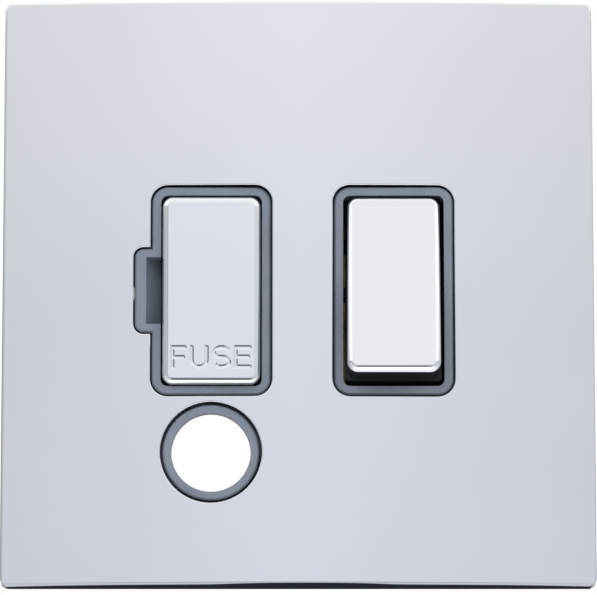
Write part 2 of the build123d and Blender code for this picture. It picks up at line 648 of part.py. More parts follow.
def contact_arm(x):
    """See-saw contact with its pivot bar and one contact button, at its off tilt."""
    back = ARM_FRONT_Y + ARM_T
    arm = across(Pos(x, 0) * RectangleRounded(ARM_W, 2 * ARM_REACH, ARM_T), ARM_FRONT_Y, back)
    arm += sideways(Pos(ARM_AXIS_Y, 0) * Circle(ARM_BAR_R), x - ARM_W / 2, x + ARM_W / 2)
    arm += post(x, CONTACT_Z, CONTACT_R, back, back + CONTACT_T)
    return arm.rotate(Axis((x, ARM_AXIS_Y, 0), (1, 0, 0)), ARM_SWING / 2)


def link(points):
    """A flat link lying on the back of the housing."""
    return across(strip(points), BODY_DEPTH, LINK_BACK)


def saddle(x):
    """Grooved saddle that carries a see-saw contact's pivot bar."""
    seat = block(x - SADDLE_W / 2, x + SADDLE_W / 2, ARM_AXIS_Y, BODY_DEPTH,
                 -SADDLE_H / 2, SADDLE_H / 2)
    groove = Pos(ARM_AXIS_Y, 0) * Circle(ARM_BAR_R + RUN_FIT)
    return seat - sideways(groove, x - SADDLE_W / 2, x + SADDLE_W / 2)


def fixed_contact(x):
    """Fixed contact button, clear of the moving one when the switch is on."""
    half_swing = radians(ARM_SWING / 2)
    button_y = CONTACT_T - ARM_BAR_DROP
    meets = ARM_AXIS_Y + button_y * cos(half_swing) + (CONTACT_Z + CONTACT_R) * sin(half_swing)
    return post(x, CONTACT_Z, CONTACT_R, meets + CONTACT_GAP, BODY_DEPTH)


def fuse_jaw(z):
    """Sprung jaw that grips one end cap of the fuse, open towards the room."""
    arm_x = FUSE_R + FUSE_CLEAR
    tip = FUSE_Y - JAW_PAST
    path = Polyline(
        (-arm_x - JAW_FLARE, tip - JAW_FLARE_L), (-arm_x, tip), (-arm_x, BODY_DEPTH),
        (arm_x, BODY_DEPTH), (arm_x, tip), (arm_x + JAW_FLARE, tip - JAW_FLARE_L),
    )
    section = make_face(offset(path, LINK_T, kind=Kind.INTERSECTION, side=Side.LEFT))
    return upright(Pos(FUSE_X, 0) * section, z - JAW_W / 2, z + JAW_W / 2)


def supply_link(terminal_x, pole_x):
    """Link from a supply terminal to the saddle of its pole."""
    path = [(terminal_x, TERMINAL_Z), (terminal_x, LINK_LEAVE_Z), (pole_x, LINK_BEND_Z), (pole_x, 0)]
    return link(path) + saddle(pole_x)


def load_neutral_link():
    """Link from the neutral fixed contact round to its load terminal."""
    path = [(TERMINAL_XS[1], TERMINAL_Z), (TERMINAL_XS[1], LINK_LEAVE_Z),
            (LOAD_NEUTRAL_X, LINK_BEND_Z), (LOAD_NEUTRAL_X, CONTACT_Z), (NEUTRAL_X, CONTACT_Z)]
    return link(path) + fixed_contact(NEUTRAL_X)


def fuse_feed_link():
    """Link from the live fixed contact to the upper fuse jaw."""
    path = [(LIVE_X, CONTACT_Z), (LIVE_X, LINK_TOP_Z), (FUSE_X, LINK_TOP_Z), (FUSE_X, JAW_Z)]
    return link(path) + fixed_contact(LIVE_X) + fuse_jaw(JAW_Z)


def load_live_link():
    """Link from the lower fuse jaw to the live load terminal."""
    path = [(FUSE_X, -JAW_Z), (TERMINAL_XS[0], -JAW_Z), (TERMINAL_XS[0], TERMINAL_Z)]
    return link(path) + fuse_jaw(-JAW_Z)


def terminal(x, z, seat):
    """Brass pillar terminal with a wire hole up its height and a screw hole from the back."""
    back = seat + TERMINAL_D
    brass = across(Pos(x, z) * Rectangle(TERMINAL_W, TERMINAL_H), seat, back)
    brass = chamfer(brass.edges().filter_by(Axis.Z).sort_by(Axis.Y)[-2:], TERMINAL_EDGE)
    wire_y = seat + WIRE_WALL + WIRE_R
    brass -= upright(Pos(x, wire_y) * Circle(WIRE_R), z - TERMINAL_H / 2, z + TERMINAL_H / 2)
    return brass - post(x, z, TERMINAL_SCREW_R + SCREW_FIT, wire_y, back)


def terminal_screw(x, z, seat):
    """Terminal screw, backed off so that the wire hole is clear."""
    tip = seat + WIRE_WALL + 2 * WIRE_R + SCREW_FIT
    head = seat + TERMINAL_D + TERMINAL_EDGE
    return screw(x, z, tip, head, TERMINAL_SCREW_R, TERMINAL_HEAD_R, TERMINAL_HEAD_T)


def cord_grip():
    """Arched bar that clamps the cord to the rear cover."""
    rise = COVER_Y + GRIP_RISE
    outer = GRIP_CORD_R + GRIP_T
    arch = Pos(FUSE_X, rise) * Circle(outer)
    arch += Pos(FUSE_X, COVER_Y + GRIP_RISE / 2) * Rectangle(2 * outer, GRIP_RISE)
    arch -= Pos(FUSE_X, COVER_Y - outer) * Rectangle(GRIP_SPAN, 2 * outer)
    arch += Pos(FUSE_X, COVER_Y + GRIP_T / 2) * Rectangle(GRIP_SPAN, GRIP_T)
    arch -= Pos(FUSE_X, rise) * Circle(GRIP_CORD_R)
    arch -= Pos(FUSE_X, COVER_Y + GRIP_RISE / 2) * Rectangle(2 * GRIP_CORD_R, GRIP_RISE)
    bar = upright(arch, GRIP_Z - GRIP_W / 2, GRIP_Z + GRIP_W / 2)
    for side in (-1, 1):
        bar -= post(FUSE_X + side * GRIP_SCREW_X, GRIP_Z, SCREW_R + SCREW_FIT, COVER_Y,
                    COVER_Y + GRIP_T)
    return bar


def cord_grip_screws():
    """Two screws that pull the cord grip down."""
    seat = COVER_Y + GRIP_T
    return Compound([
        screw(FUSE_X + side * GRIP_SCREW_X, GRIP_Z, GRIP_SCREW_TIP, seat, SCREW_R, SCREW_HEAD_R,
              SCREW_HEAD_T)
        for side in (-1, 1)
    ])


load_live_x, load_neutral_x, supply_neutral_x, supply_live_x = TERMINAL_XS
pieces = {
    "front_plate": front_plate(),
    "mounting_frame": mounting_frame(),
    "plate_clips": plate_clips(),
    "frame_screws": frame_screws(),
    "front_housing": front_housing(),
    "rear_cover": rear_cover(),
    "cover_screws": cover_screws(),
    "fuse_drawer": fuse_drawer(),
    "fuse_cap": fuse_cap(),
    "fuse_tube": fuse_tube(),
    "fuse_end_caps": fuse_end_caps(),
    "rocker_dolly": rocker_dolly(),
    "rocker_cap": rocker_cap(),
    "live_plunger": plunger(LIVE_X),
    "neutral_plunger": plunger(NEUTRAL_X),
    "live_plunger_spring": plunger_spring(LIVE_X),
    "neutral_plunger_spring": plunger_spring(NEUTRAL_X),
    "live_contact_arm": contact_arm(LIVE_X),
    "neutral_contact_arm": contact_arm(NEUTRAL_X),
    "supply_live_link": supply_link(supply_live_x, LIVE_X),
    "supply_neutral_link": supply_link(supply_neutral_x, NEUTRAL_X),
    "fuse_feed_link": fuse_feed_link(),
    "load_live_link": load_live_link(),
    "load_neutral_link": load_neutral_link(),
    "supply_live_terminal": terminal(supply_live_x, TERMINAL_Z, LINK_BACK),
    "supply_neutral_terminal": terminal(supply_neutral_x, TERMINAL_Z, LINK_BACK),
    "load_live_terminal": terminal(load_live_x, TERMINAL_Z, LINK_BACK),
    "load_neutral_terminal": terminal(load_neutral_x, TERMINAL_Z, LINK_BACK),
    "earth_terminal": terminal(EARTH_X, EARTH_Z, 0),
    "terminal_screws": Compound(
        [terminal_screw(x, TERMINAL_Z, LINK_BACK) for x in TERMINAL_XS]
        + [terminal_screw(EARTH_X, EARTH_Z, 0)]
    ),
    "cord_grip": cord_grip(),
    "cord_grip_screws": cord_grip_screws(),
}

os.makedirs("parts", exist_ok=True)
for name, shape in pieces.items():
    export_step(shape, f"parts/{name}.step")
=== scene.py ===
"""Looks of a switched fused spur unit: chrome plate and caps, grey mouldings, brass and steel inside."""

import logging
from dataclasses import dataclass, field
from enum import Enum
from math import cos, hypot, pi, radians, sin, sqrt, tan

import bpy
from mathutils import Matrix, Vector
from mathutils.geometry import delaunay_2d_cdt


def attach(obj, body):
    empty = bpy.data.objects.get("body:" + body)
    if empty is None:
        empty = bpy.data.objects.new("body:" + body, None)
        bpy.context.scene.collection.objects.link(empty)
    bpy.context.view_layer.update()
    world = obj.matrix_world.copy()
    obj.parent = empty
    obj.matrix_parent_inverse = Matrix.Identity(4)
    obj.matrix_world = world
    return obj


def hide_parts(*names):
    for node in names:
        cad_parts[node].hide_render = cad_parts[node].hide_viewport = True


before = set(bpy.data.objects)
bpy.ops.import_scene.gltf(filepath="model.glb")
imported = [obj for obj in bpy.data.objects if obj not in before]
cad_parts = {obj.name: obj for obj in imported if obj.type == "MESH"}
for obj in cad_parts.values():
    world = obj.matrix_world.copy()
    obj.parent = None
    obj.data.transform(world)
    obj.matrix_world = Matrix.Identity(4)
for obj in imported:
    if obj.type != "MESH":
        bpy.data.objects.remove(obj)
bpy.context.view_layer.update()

LOG = logging.getLogger("spur_unit")
MM = 0.001

Piece = bpy.types.Object
Socket = bpy.types.NodeSocket
Flat = tuple[float, float]
Triple = tuple[float, float, float]
Colour = Triple
Stops = list[tuple[float, Colour]]


class Slot(Enum):
    """The record's material slots."""

    CHROME = "chrome_finish"
    MOULDING = "grey_moulding"
    DARK = "dark_moulding"
    NYLON = "white_nylon"
    STEEL = "plated_steel"
    BRASS = "contact_brass"
    CERAMIC = "fuse_ceramic"
    CUPS = "fuse_end_plating"


class Body(Enum):
    """The moving bodies that pieces ride on."""

    BASE = "base"
    PLATE = "plate"
    FUSE_CARRIER = "fuse_carrier"
    ROCKER = "rocker"


class Rim(Enum):
    """Which side of its outline a solid lies on: inside it, or outside it where it is a hole."""

    OUTER = 1
    HOLE = -1


class Facing(Enum):
    """Which way a filled face looks."""

    ROOM = 1
    WALL = -1


class Nodes:
    """A node tree under construction."""

    def __init__(self, tree: bpy.types.NodeTree) -> None:
        """Take over a tree."""
        self.tree = tree

    def add(self, kind: str, **settings: object) -> bpy.types.Node:
        """Add one shader node.

        Args:
            kind: The node's type, without the words that all types start with.
            settings: The node's own settings.

        Returns:
            The new node.
        """
        node = self.tree.nodes.new(f"ShaderNode{kind}")
        for key, value in settings.items():
            setattr(node, key, value)
        return node

    def feed(self, target: Socket, source: object) -> None:
        """Join an input to another node's output, or set its constant.

        Args:
            target: The input.
            source: An output, a number, a vector or a colour.
        """
        if isinstance(source, Socket):
            self.tree.links.new(source, target)
        elif target.type == "RGBA":
            target.default_value = (*source, 1.0)
        else:
            target.default_value = source

    def math(self, operation: str, *values: object) -> Socket:
        """One arithmetic node over outputs or numbers.

        Args:
            operation: The node's operation.
            values: Its inputs in order.

        Returns:
            The result's socket.
        """
        node = self.add("Math", operation=operation)
        for target, value in zip(node.inputs, values):
            self.feed(target, value)
        return node.outputs["Value"]

    def split(self, space: str) -> list[Socket]:
        """The X, Y and Z of a texture coordinate.

        Args:
            space: The coordinate's name.

        Returns:
            The three sockets.
        """
        node = self.add("SeparateXYZ")
        self.feed(node.inputs["Vector"], self.add("TexCoord").outputs[space])
        return list(node.outputs)

    def spread(self, value: Socket, low: float, high: float, start: float = 0.3, end: float = 0.7,
               curve: str = "LINEAR") -> Socket:
        """Map a value to a range.

        Args:
            value: The socket to map.
            low: Result where the value is at start.
            high: Result where the value is at end.
            start: Lower end of the value that is used.
            end: Upper end of the value that is used.
            curve: How the result runs between them.

        Returns:
            The mapped value's socket.
        """
        node = self.add("MapRange", interpolation_type=curve)
        for key, number in (("From Min", start), ("From Max", end), ("To Min", low), ("To Max", high)):
            self.feed(node.inputs[key], number)
        self.feed(node.inputs["Value"], value)
        return node.outputs["Result"]

    def tones(self, value: Socket, stops: Stops) -> Socket:
        """Colours along a value from 0 to 1.

        Args:
            value: The socket that runs along the colours.
            stops: Places from 0 to 1, rising, and their colours.

        Returns:
            The colour's socket.
        """
        ramp = self.add("ValToRGB")
        elements = ramp.color_ramp.elements
        while len(elements) < len(stops):
            elements.new(0.5)
        for element, (place, colour) in zip(elements, stops):
            element.position = place
            element.color = (*colour, 1.0)
        self.feed(ramp.inputs["Fac"], value)
        return ramp.outputs["Color"]

    def scaled_tones(self, value: Socket, stops: Stops) -> Socket:
        """Colours along a value of any range.

        Args:
            value: The socket that runs along the colours.
            stops: Places in the value's own terms, rising, and their colours.

        Returns:
            The colour's socket.
        """
        low = stops[0][0]
        reach = stops[-1][0] - low
        share = self.math("DIVIDE", self.math("SUBTRACT", value, low), reach)
        return self.tones(share, [((place - low) / reach, colour) for place, colour in stops])

    def mix(self, share: object, first: object, second: object, blend: str = "MIX") -> Socket:
        """Blend two colours.

        Args:
            share: How much of the second, as a socket or a number.
            first: The first colour or its socket.
            second: The second colour or its socket.
            blend: The kind of blend.

        Returns:
            The colour's socket.
        """
        node = self.add("Mix", data_type="RGBA", blend_type=blend)
        factor, first_colour, second_colour, result = 0, 6, 7, 2
        for key, value in ((factor, share), (first_colour, first), (second_colour, second)):
            self.feed(node.inputs[key], value)
        return node.outputs[result]


@dataclass(frozen=True)
class Grain:
    """A layer of noise: a blotch's size in mm, its finer layers and its fineness along each axis."""

    size: float
    detail: float
    stretch: Triple = (1.0, 1.0, 1.0)


class Recipe(Nodes):
    """A material under construction: one principled shader and the nodes that feed it."""

    EDGE_SAMPLES = 6

    def __init__(self, name: str) -> None:
        """Start a material of that name."""
        self.material = bpy.data.materials.new(name)
        self.material.use_nodes = True
        super().__init__(self.material.node_tree)
        self.shader = self.tree.nodes["Principled BSDF"]
        self.space = self.add("TexCoord").outputs["Object"]

    def set(self, values: dict[str, object]) -> None:
        """Feed the shader's own sockets, by name."""
        for key, value in values.items():
            self.feed(self.shader.inputs[key], value)

    def noise(self, grain: Grain) -> Socket:
        """Cloudy noise in the object's own space.

        Args:
            grain: The layer.

        Returns:
            The noise value's socket.
        """
        mapping = self.add("Mapping")
        self.feed(mapping.inputs["Scale"], grain.stretch)
        self.feed(mapping.inputs["Vector"], self.space)
        noise = self.add("TexNoise")
        self.feed(noise.inputs["Scale"], 1.0 / (grain.size * MM))
        self.feed(noise.inputs["Detail"], grain.detail)
        self.feed(noise.inputs["Vector"], mapping.outputs["Vector"])
        return noise.outputs["Fac"]

    def relief(self, height: Socket, depth: float, rounding: float) -> None:
        """Give the shader a fine relief, over edges that are softened by a small radius.

        Args:
            height: The relief's height, 0 to 1.
            depth: Full height of the relief in mm.
            rounding: Radius in mm that sharp edges appear to have.
        """
        bump = self.add("Bump")
        self.feed(bump.inputs["Distance"], depth * MM)
        self.feed(bump.inputs["Height"], height)
        if rounding:
            edge = self.add("Bevel", samples=self.EDGE_SAMPLES)
            self.feed(edge.inputs["Radius"], rounding * MM)
            self.feed(bump.inputs["Normal"], edge.outputs["Normal"])
        self.set({"Normal": bump.outputs["Normal"]})


@dataclass(frozen=True)
class Finish:
    """A surface whose tone, gloss and relief follow layers of noise.

    Where gloss or relief has no layer of its own, it follows the fine layer, or else the broad one.
    """

    name: str
    slot: Slot
    stops: Stops
    broad: Grain
    gloss: Flat
    depth: float
    fine: Grain | None = None
    fine_share: float = 0.0
    gloss_layer: Grain | None = None
    relief_layer: Grain | None = None
    rounding: float = 0.0
    shader: dict[str, float] = field(default_factory=dict)

    def material(self) -> bpy.types.Material:
        """Build the node material.

        Returns:
            The material.
        """
        recipe = Recipe(self.name)
        tone = detail = recipe.noise(self.broad)
        if self.fine:
            detail = recipe.noise(self.fine)
            tone = recipe.math("MULTIPLY_ADD", detail, self.fine_share, tone)
        gloss = recipe.noise(self.gloss_layer) if self.gloss_layer else detail
        relief = recipe.noise(self.relief_layer) if self.relief_layer else detail
        recipe.set({"Base Color": recipe.tones(tone, self.stops), **self.shader})
        recipe.set({"Roughness": recipe.spread(gloss, *self.gloss)})
        recipe.relief(relief, self.depth, self.rounding)
        return recipe.material


METAL = {"Metallic": 1.0}
WORN_SHARE = 0.985


def chrome(name: str, tint: Colour, ripple: float) -> Finish:
    """Polished chrome with the faint haze and ripple of a buffed sheet.

    Args:
        name: The material's name.
        tint: Its colour where it isn't worn.
        ripple: Height of the ripple in mm.

    Returns:
        The finish.
    """
    worn = tuple(c * WORN_SHARE for c in tint)
    return Finish(name, Slot.CHROME, [(0.35, worn), (0.65, tint)], Grain(22.0, 2.0), (0.03, 0.05), ripple,
                  gloss_layer=Grain(5.0, 4.0), relief_layer=Grain(14.0, 1.0), shader=METAL)


def moulding(name: str, slot: Slot, dark: Colour, light: Colour, gloss: Flat, shine: float) -> Finish:
    """Satin thermoset moulding with flow clouds, fine speckle and a spark-eroded skin.

    Args:
        name: The material's name.
        slot: Its slot.
        dark: Darkest tone.
        light: Lightest tone.
        gloss: Range of roughness.
        shine: Strength of its reflections.

    Returns:
        The finish.
    """
    return Finish(name, slot, [(0.45, dark), (0.9, light)], Grain(7.0, 3.0), gloss, 0.006,
                  fine=Grain(0.16, 2.0), fine_share=0.35, gloss_layer=Grain(1.2, 3.0), rounding=0.12,
                  shader={"Specular IOR Level": shine})


PLATE_CHROME = chrome("polished_chrome", (0.86, 0.88, 0.91), 0.0012)
CAP_CHROME = chrome("bright_chrome", (0.903, 0.924, 0.955), 0.0008)
SLATE = moulding("slate_grey_moulding", Slot.MOULDING, (0.132, 0.153, 0.187), (0.159, 0.183, 0.224),
                 (0.30, 0.42), 0.5)
CHARCOAL = moulding("charcoal_moulding", Slot.DARK, (0.010, 0.011, 0.013), (0.016, 0.017, 0.020),
                    (0.40, 0.55), 0.2)
# Stamped and milled brass with drawn streaks and a little tarnish
BRASS = Finish("contact_brass_metal", Slot.BRASS, [(0.5, (0.60, 0.41, 0.17)), (0.78, (0.78, 0.58, 0.26))],
               Grain(2.5, 4.0), (0.20, 0.36), 0.004, fine=Grain(0.5, 2.0, (1.0, 1.0, 0.06)), fine_share=0.4,
               rounding=0.1, shader=METAL)
# Zinc-plated steel, cool grey, with a fine crystal mottle
ZINC = Finish("zinc_plated_steel", Slot.STEEL, [(0.5, (0.50, 0.52, 0.55)), (0.95, (0.66, 0.68, 0.70))],
              Grain(6.0, 3.0), (0.26, 0.42), 0.003, fine=Grain(0.3, 2.0), fine_share=0.5, rounding=0.1,
              shader=METAL)
# Natural white nylon, slightly translucent
NYLON = Finish("natural_nylon", Slot.NYLON, [(0.35, (0.74, 0.72, 0.66)), (0.65, (0.82, 0.80, 0.75))],
               Grain(1.1, 3.0), (0.34, 0.48), 0.004, gloss_layer=Grain(0.3, 2.0),
               relief_layer=Grain(0.2, 2.0), rounding=0.08,
               shader={"Subsurface Weight": 0.15, "Subsurface Scale": 0.0006})
# Unglazed off-white ceramic with pores
CERAMIC = Finish("unglazed_ceramic", Slot.CERAMIC, [(0.36, (0.62, 0.59, 0.53)), (0.46, (0.80, 0.77, 0.70))],
                 Grain(0.25, 4.0), (0.75, 0.55), 0.02)
# Nickel plating with drawn rings round it
NICKEL = Finish("nickel_plated_cups", Slot.CUPS, [(0.35, (0.58, 0.55, 0.49)), (0.62, (0.69, 0.66, 0.60))],
                Grain(0.35, 3.0, (0.05, 0.05, 1.0)), (0.14, 0.30), 0.004, shader=METAL)


class Palette:
    """Every finish of the unit, each made into a material once."""

    def __init__(self) -> None:
        """Build the materials."""
        finishes = (PLATE_CHROME, SLATE, CHARCOAL, BRASS, ZINC, NYLON, CERAMIC, NICKEL)
        self.materials = {finish.slot: finish.material() for finish in finishes}
        self.caps = CAP_CHROME.material()

    def dress(self, piece: Piece, body: Body, slot: Slot, *nodes: str, cap: bool = False) -> None:
        """Finish a piece, ride it on its body and hide the CAD nodes it stands for.

        Args:
            piece: The piece, already in place.
            body: The body it moves with.
            slot: The record's slot that it takes its finish from.
            nodes: CAD nodes that it replaces.
            cap: Whether it has the brighter chrome of plated mouldings.
        """
        piece.data.materials.append(self.caps if cap else self.materials[slot])
        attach(piece, body.value)
        if nodes:
            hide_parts(*nodes)
        LOG.info("built %s: %d faces on %s", piece.name, len(piece.data.polygons), body.value)

    def dress_node(self, name: str, slot: Slot) -> None:
        """Give a CAD node the finish of its slot."""
        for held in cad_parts[name].material_slots:
            held.material = self.materials[slot]
        LOG.info("dressed %s as %s", name, slot.value)


@dataclass(frozen=True)
class Outline:
    """A closed line seen from the room, anticlockwise, in mm across and up."""

    points: tuple[Flat, ...]

    def grown(self, by: float) -> "Outline":
        """The same outline moved outwards.

        Args:
            by: Distance outwards in mm, or inwards if negative.

        Returns:
            The moved outline, with as many points.
        """
        moved = zip(self.points, self.mitres())
        return Outline(tuple((x + nx * by, z + nz * by) for (x, z), (nx, nz) in moved))

    def mitres(self, sharpest: float = 0.3) -> list[Flat]:
        """Outward directions at the points, long enough to keep the sides parallel.

        Args:
            sharpest: Cosine at which a mitre grows no longer.

        Returns:
            One direction for each point.
        """
        made = []
        count = len(self.points)
        for i, (x, z) in enumerate(self.points):
            before = self.points[i - 1]
            after = self.points[(i + 1) % count]
            a = Vector((z - before[1], before[0] - x)).normalized()
            b = Vector((after[1] - z, x - after[0])).normalized()
            middle = (a + b).normalized()
            made.append(tuple(middle / max(middle.dot(a), sharpest)))
        return made

    def holds(self, x: float, z: float) -> bool:
        """Whether a point lies inside."""
        inside = False
        before = self.points[-1]
        for after in self.points:
            if (before[1] > z) != (after[1] > z):
                if x < before[0] + (after[0] - before[0]) * (z - before[1]) / (after[1] - before[1]):
                    inside = not inside
            before = after
        return inside

    def distance(self, x: float, z: float) -> float:
        """Distance from a point to the nearest point of the outline."""
        return min(hypot(x - px, z - pz) for px, pz in self.points)


def arc(x: float, z: float, radius: float, start: float, turn: float, steps: int) -> list[Flat]:
    """Points along an arc.

    Args:
        x: Centre across, in mm.
        z: Centre up, in mm.
        radius: Radius in mm.
        start: Angle of the first point in degrees.
        turn: How far it turns in degrees, anticlockwise if positive.
        steps: Number of runs between points.

    Returns:
        The points, both ends included.
    """
    angles = [radians(start + turn * i / steps) for i in range(steps + 1)]
    return [(x + radius * cos(a), z + radius * sin(a)) for a in angles]


def stepped(corners: list[Flat], longest: float = 2.5) -> Outline:
    """Close a line and divide its long runs.

    Args:
        corners: The line's points, anticlockwise.
        longest: Longest run that is left whole, in mm.

    Returns:
        The outline.
    """
    round_up = 0.999
    points = []
    for (x0, z0), (x1, z1) in zip(corners, corners[1:] + corners[:1]):
        parts = max(1, int(hypot(x1 - x0, z1 - z0) / longest + round_up))
        points += [(x0 + (x1 - x0) * i / parts, z0 + (z1 - z0) * i / parts) for i in range(parts)]
    return Outline(tuple(points))


@dataclass(frozen=True)
class Rectangle:
    """A rectangle with round corners: centre, width, height and corner radius in mm, and runs in a corner."""

    x: float
    z: float
    size: Triple
    steps: int = 10

    def corners(self) -> list[list[Flat]]:
        """Points of the four corners, anticlockwise from the lower right.

        Returns:
            One list for each corner.
        """
        width, height, radius = self.size
        a, b = width / 2 - radius, height / 2 - radius
        return [arc(self.x + side * a, self.z + rise * b, radius, start, 90, self.steps)
                for side, rise, start in ((1, -1, -90), (1, 1, 0), (-1, 1, 90), (-1, -1, 180))]

    def outline(self) -> Outline:
        """Its outline, with long runs divided."""
        return stepped(sum(self.corners(), []))


def circle(steps: int) -> list[float]:
    """Angles of evenly spaced points round a circle."""
    return [2 * pi * k / steps for k in range(steps)]


class Shell:
    """A mesh under construction, in mm, with an exact normal at every point."""

    MERGE = 1e-5

    def __init__(self, name: str) -> None:
        """Start an empty mesh for the piece of that name."""
        self.name = name
        self.points: list[Vector] = []
        self.normals: list[Vector] = []
        self.faces: list[tuple[int, ...]] = []
        self.plain: list[bool] = []

    def point(self, place: Vector, normal: Vector) -> int:
        """Add a point and return its number."""
        self.points.append(Vector(place))
        self.normals.append(Vector(normal))
        return len(self.points) - 1

    def face(self, corners: list[int], plain: bool = False) -> None:
        """Add a face, shaded by its points' normals or plainly by its own."""
        self.faces.append(tuple(corners))
        self.plain.append(plain)

    def ring(self, outline: Outline, grow: float, depth: float, lean: float, rim: Rim) -> list[int]:
        """Add the points of an outline at one depth.

        Args:
            outline: The outline.
            grow: Distance in mm that it is moved into the rim.
            depth: Place along Y in mm.
            lean: Angle of the normals in degrees, from 0 for the face to 90 for the wall.
            rim: Whether the solid is inside or outside the outline.

        Returns:
            The points' numbers.
        """
        tilt = radians(lean)
        made = []
        for (x, z), (nx, nz) in zip(outline.grown(grow * rim.value).points, outline.mitres()):
            out = Vector((nx, 0.0, nz)).normalized() * (rim.value * sin(tilt))
            made.append(self.point(Vector((x, depth, z)), out + Vector((0.0, -cos(tilt), 0.0))))
        return made

    def band(self, inner: list[int], outer: list[int], plain: bool = False) -> None:
        """Join two rings of equal count, facing the room where the outer one lies outside."""
        count = len(inner)
        for i in range(count):
            j = (i + 1) % count
            self.face([outer[i], outer[j], inner[j], inner[i]], plain)

    def chain(self, rings: list[list[int]], rim: Rim = Rim.OUTER, plain: bool = False) -> None:
        """Join rings that follow each other away from the face."""
        for front, back in zip(rings, rings[1:]):
            self.band(*((front, back) if rim is Rim.OUTER else (back, front)), plain)

    def rim(self, outline: Outline, radius: float, span: Flat, rim: Rim,
            steps: int) -> tuple[list[int], list[int]]:
        """Add a rounded rim along an outline, and the wall behind it.

        Args:
            outline: The outline where the wall stands.
            radius: Rim radius in mm.
            span: Places of the face and of the wall's far end along Y.
            rim: Whether the solid is inside or outside the outline.
            steps: Runs round the rim.

        Returns:
            The first ring, on the face, and the last, at the wall's far end.
        """
        rings = []
        for i in range(steps + 1):
            lean = 90.0 * i / steps
            depth = span[0] + radius * (1.0 - cos(radians(lean)))
            rings.append(self.ring(outline, radius * (sin(radians(lean)) - 1.0), depth, lean, rim))
        rings.append(self.ring(outline, 0, span[1], 90, rim))
        self.chain(rings, rim)
        return rings[0], rings[-1]

    def hollow(self, back: list[int], lip: list[int], roof: list[int]) -> None:
        """Close the flat edge at the back of a cap or plate, and line its hollow up to the roof."""
        self.fill([back, lip], Facing.WALL, plain=True)
        self.band(lip, roof, plain=True)

    def fill(self, loops: list[list[int]], facing: Facing, plain: bool = False,
             extra: tuple[int, ...] = ()) -> None:
        """Fill the area inside the first loop and outside the others.

        Args:
            loops: Rings of points, the outermost first.
            facing: Which way the faces look.
            plain: Whether the faces are shaded plainly.
            extra: More points to use inside the area.
        """
        index = [i for loop in loops for i in loop] + list(extra)
        edges: list[tuple[int, int]] = []
        for loop in loops:
            first = len(edges)
            edges += [(first + k, first + (k + 1) % len(loop)) for k in range(len(loop))]
        flat = [Vector((self.points[i].x, self.points[i].z)) for i in index]
        lines = [Outline(tuple((self.points[i].x, self.points[i].z) for i in loop)) for loop in loops]
        made, _, faces, source, _, _ = delaunay_2d_cdt(flat, edges, [], 0, self.MERGE)
        for corners in faces:
            x = sum(made[c].x for c in corners) / len(corners)
            z = sum(made[c].y for c in corners) / len(corners)
            if not lines[0].holds(x, z) or any(line.holds(x, z) for line in lines[1:]):
                continue
            a, b, c = (made[corners[k]] for k in range(3))
            turn = (b.x - a.x) * (c.y - a.y) - (b.y - a.y) * (c.x - a.x)
            numbers = [index[source[k][0]] for k in corners]
            if (turn > 0) != (facing is Facing.ROOM):
                numbers.reverse()
            self.face(numbers, plain)

    def make(self, place: Matrix = Matrix.Identity(4)) -> Piece:
        """Make the piece in the row frame.

        Args:
            place: A turn or shift in mm that is applied to all points.

        Returns:
            The new object, in the scene.
        """
        turn = place.to_3x3()
        mesh = bpy.data.meshes.new(self.name)
        mesh.from_pydata([(place @ p) * MM for p in self.points], [], self.faces)
        mesh.polygons.foreach_set("use_smooth", [True] * len(mesh.polygons))
        normals = []
        for polygon, plain in zip(mesh.polygons, self.plain):
            for vertex in polygon.vertices:
                normal = polygon.normal if plain else turn @ self.normals[vertex]
                normals.append(normal.normalized())
        mesh.normals_split_custom_set(normals)
        return placed(self.name, mesh)


def placed(name: str, data: bpy.types.ID) -> Piece:
    """Put a mesh, light or camera into the scene.

    Args:
        name: Name of the object.
        data: What it shows, in metres in the row frame.

    Returns:
        The new object.
    """
    thing = bpy.data.objects.new(name, data)
    bpy.context.scene.collection.objects.link(thing)
    return thing


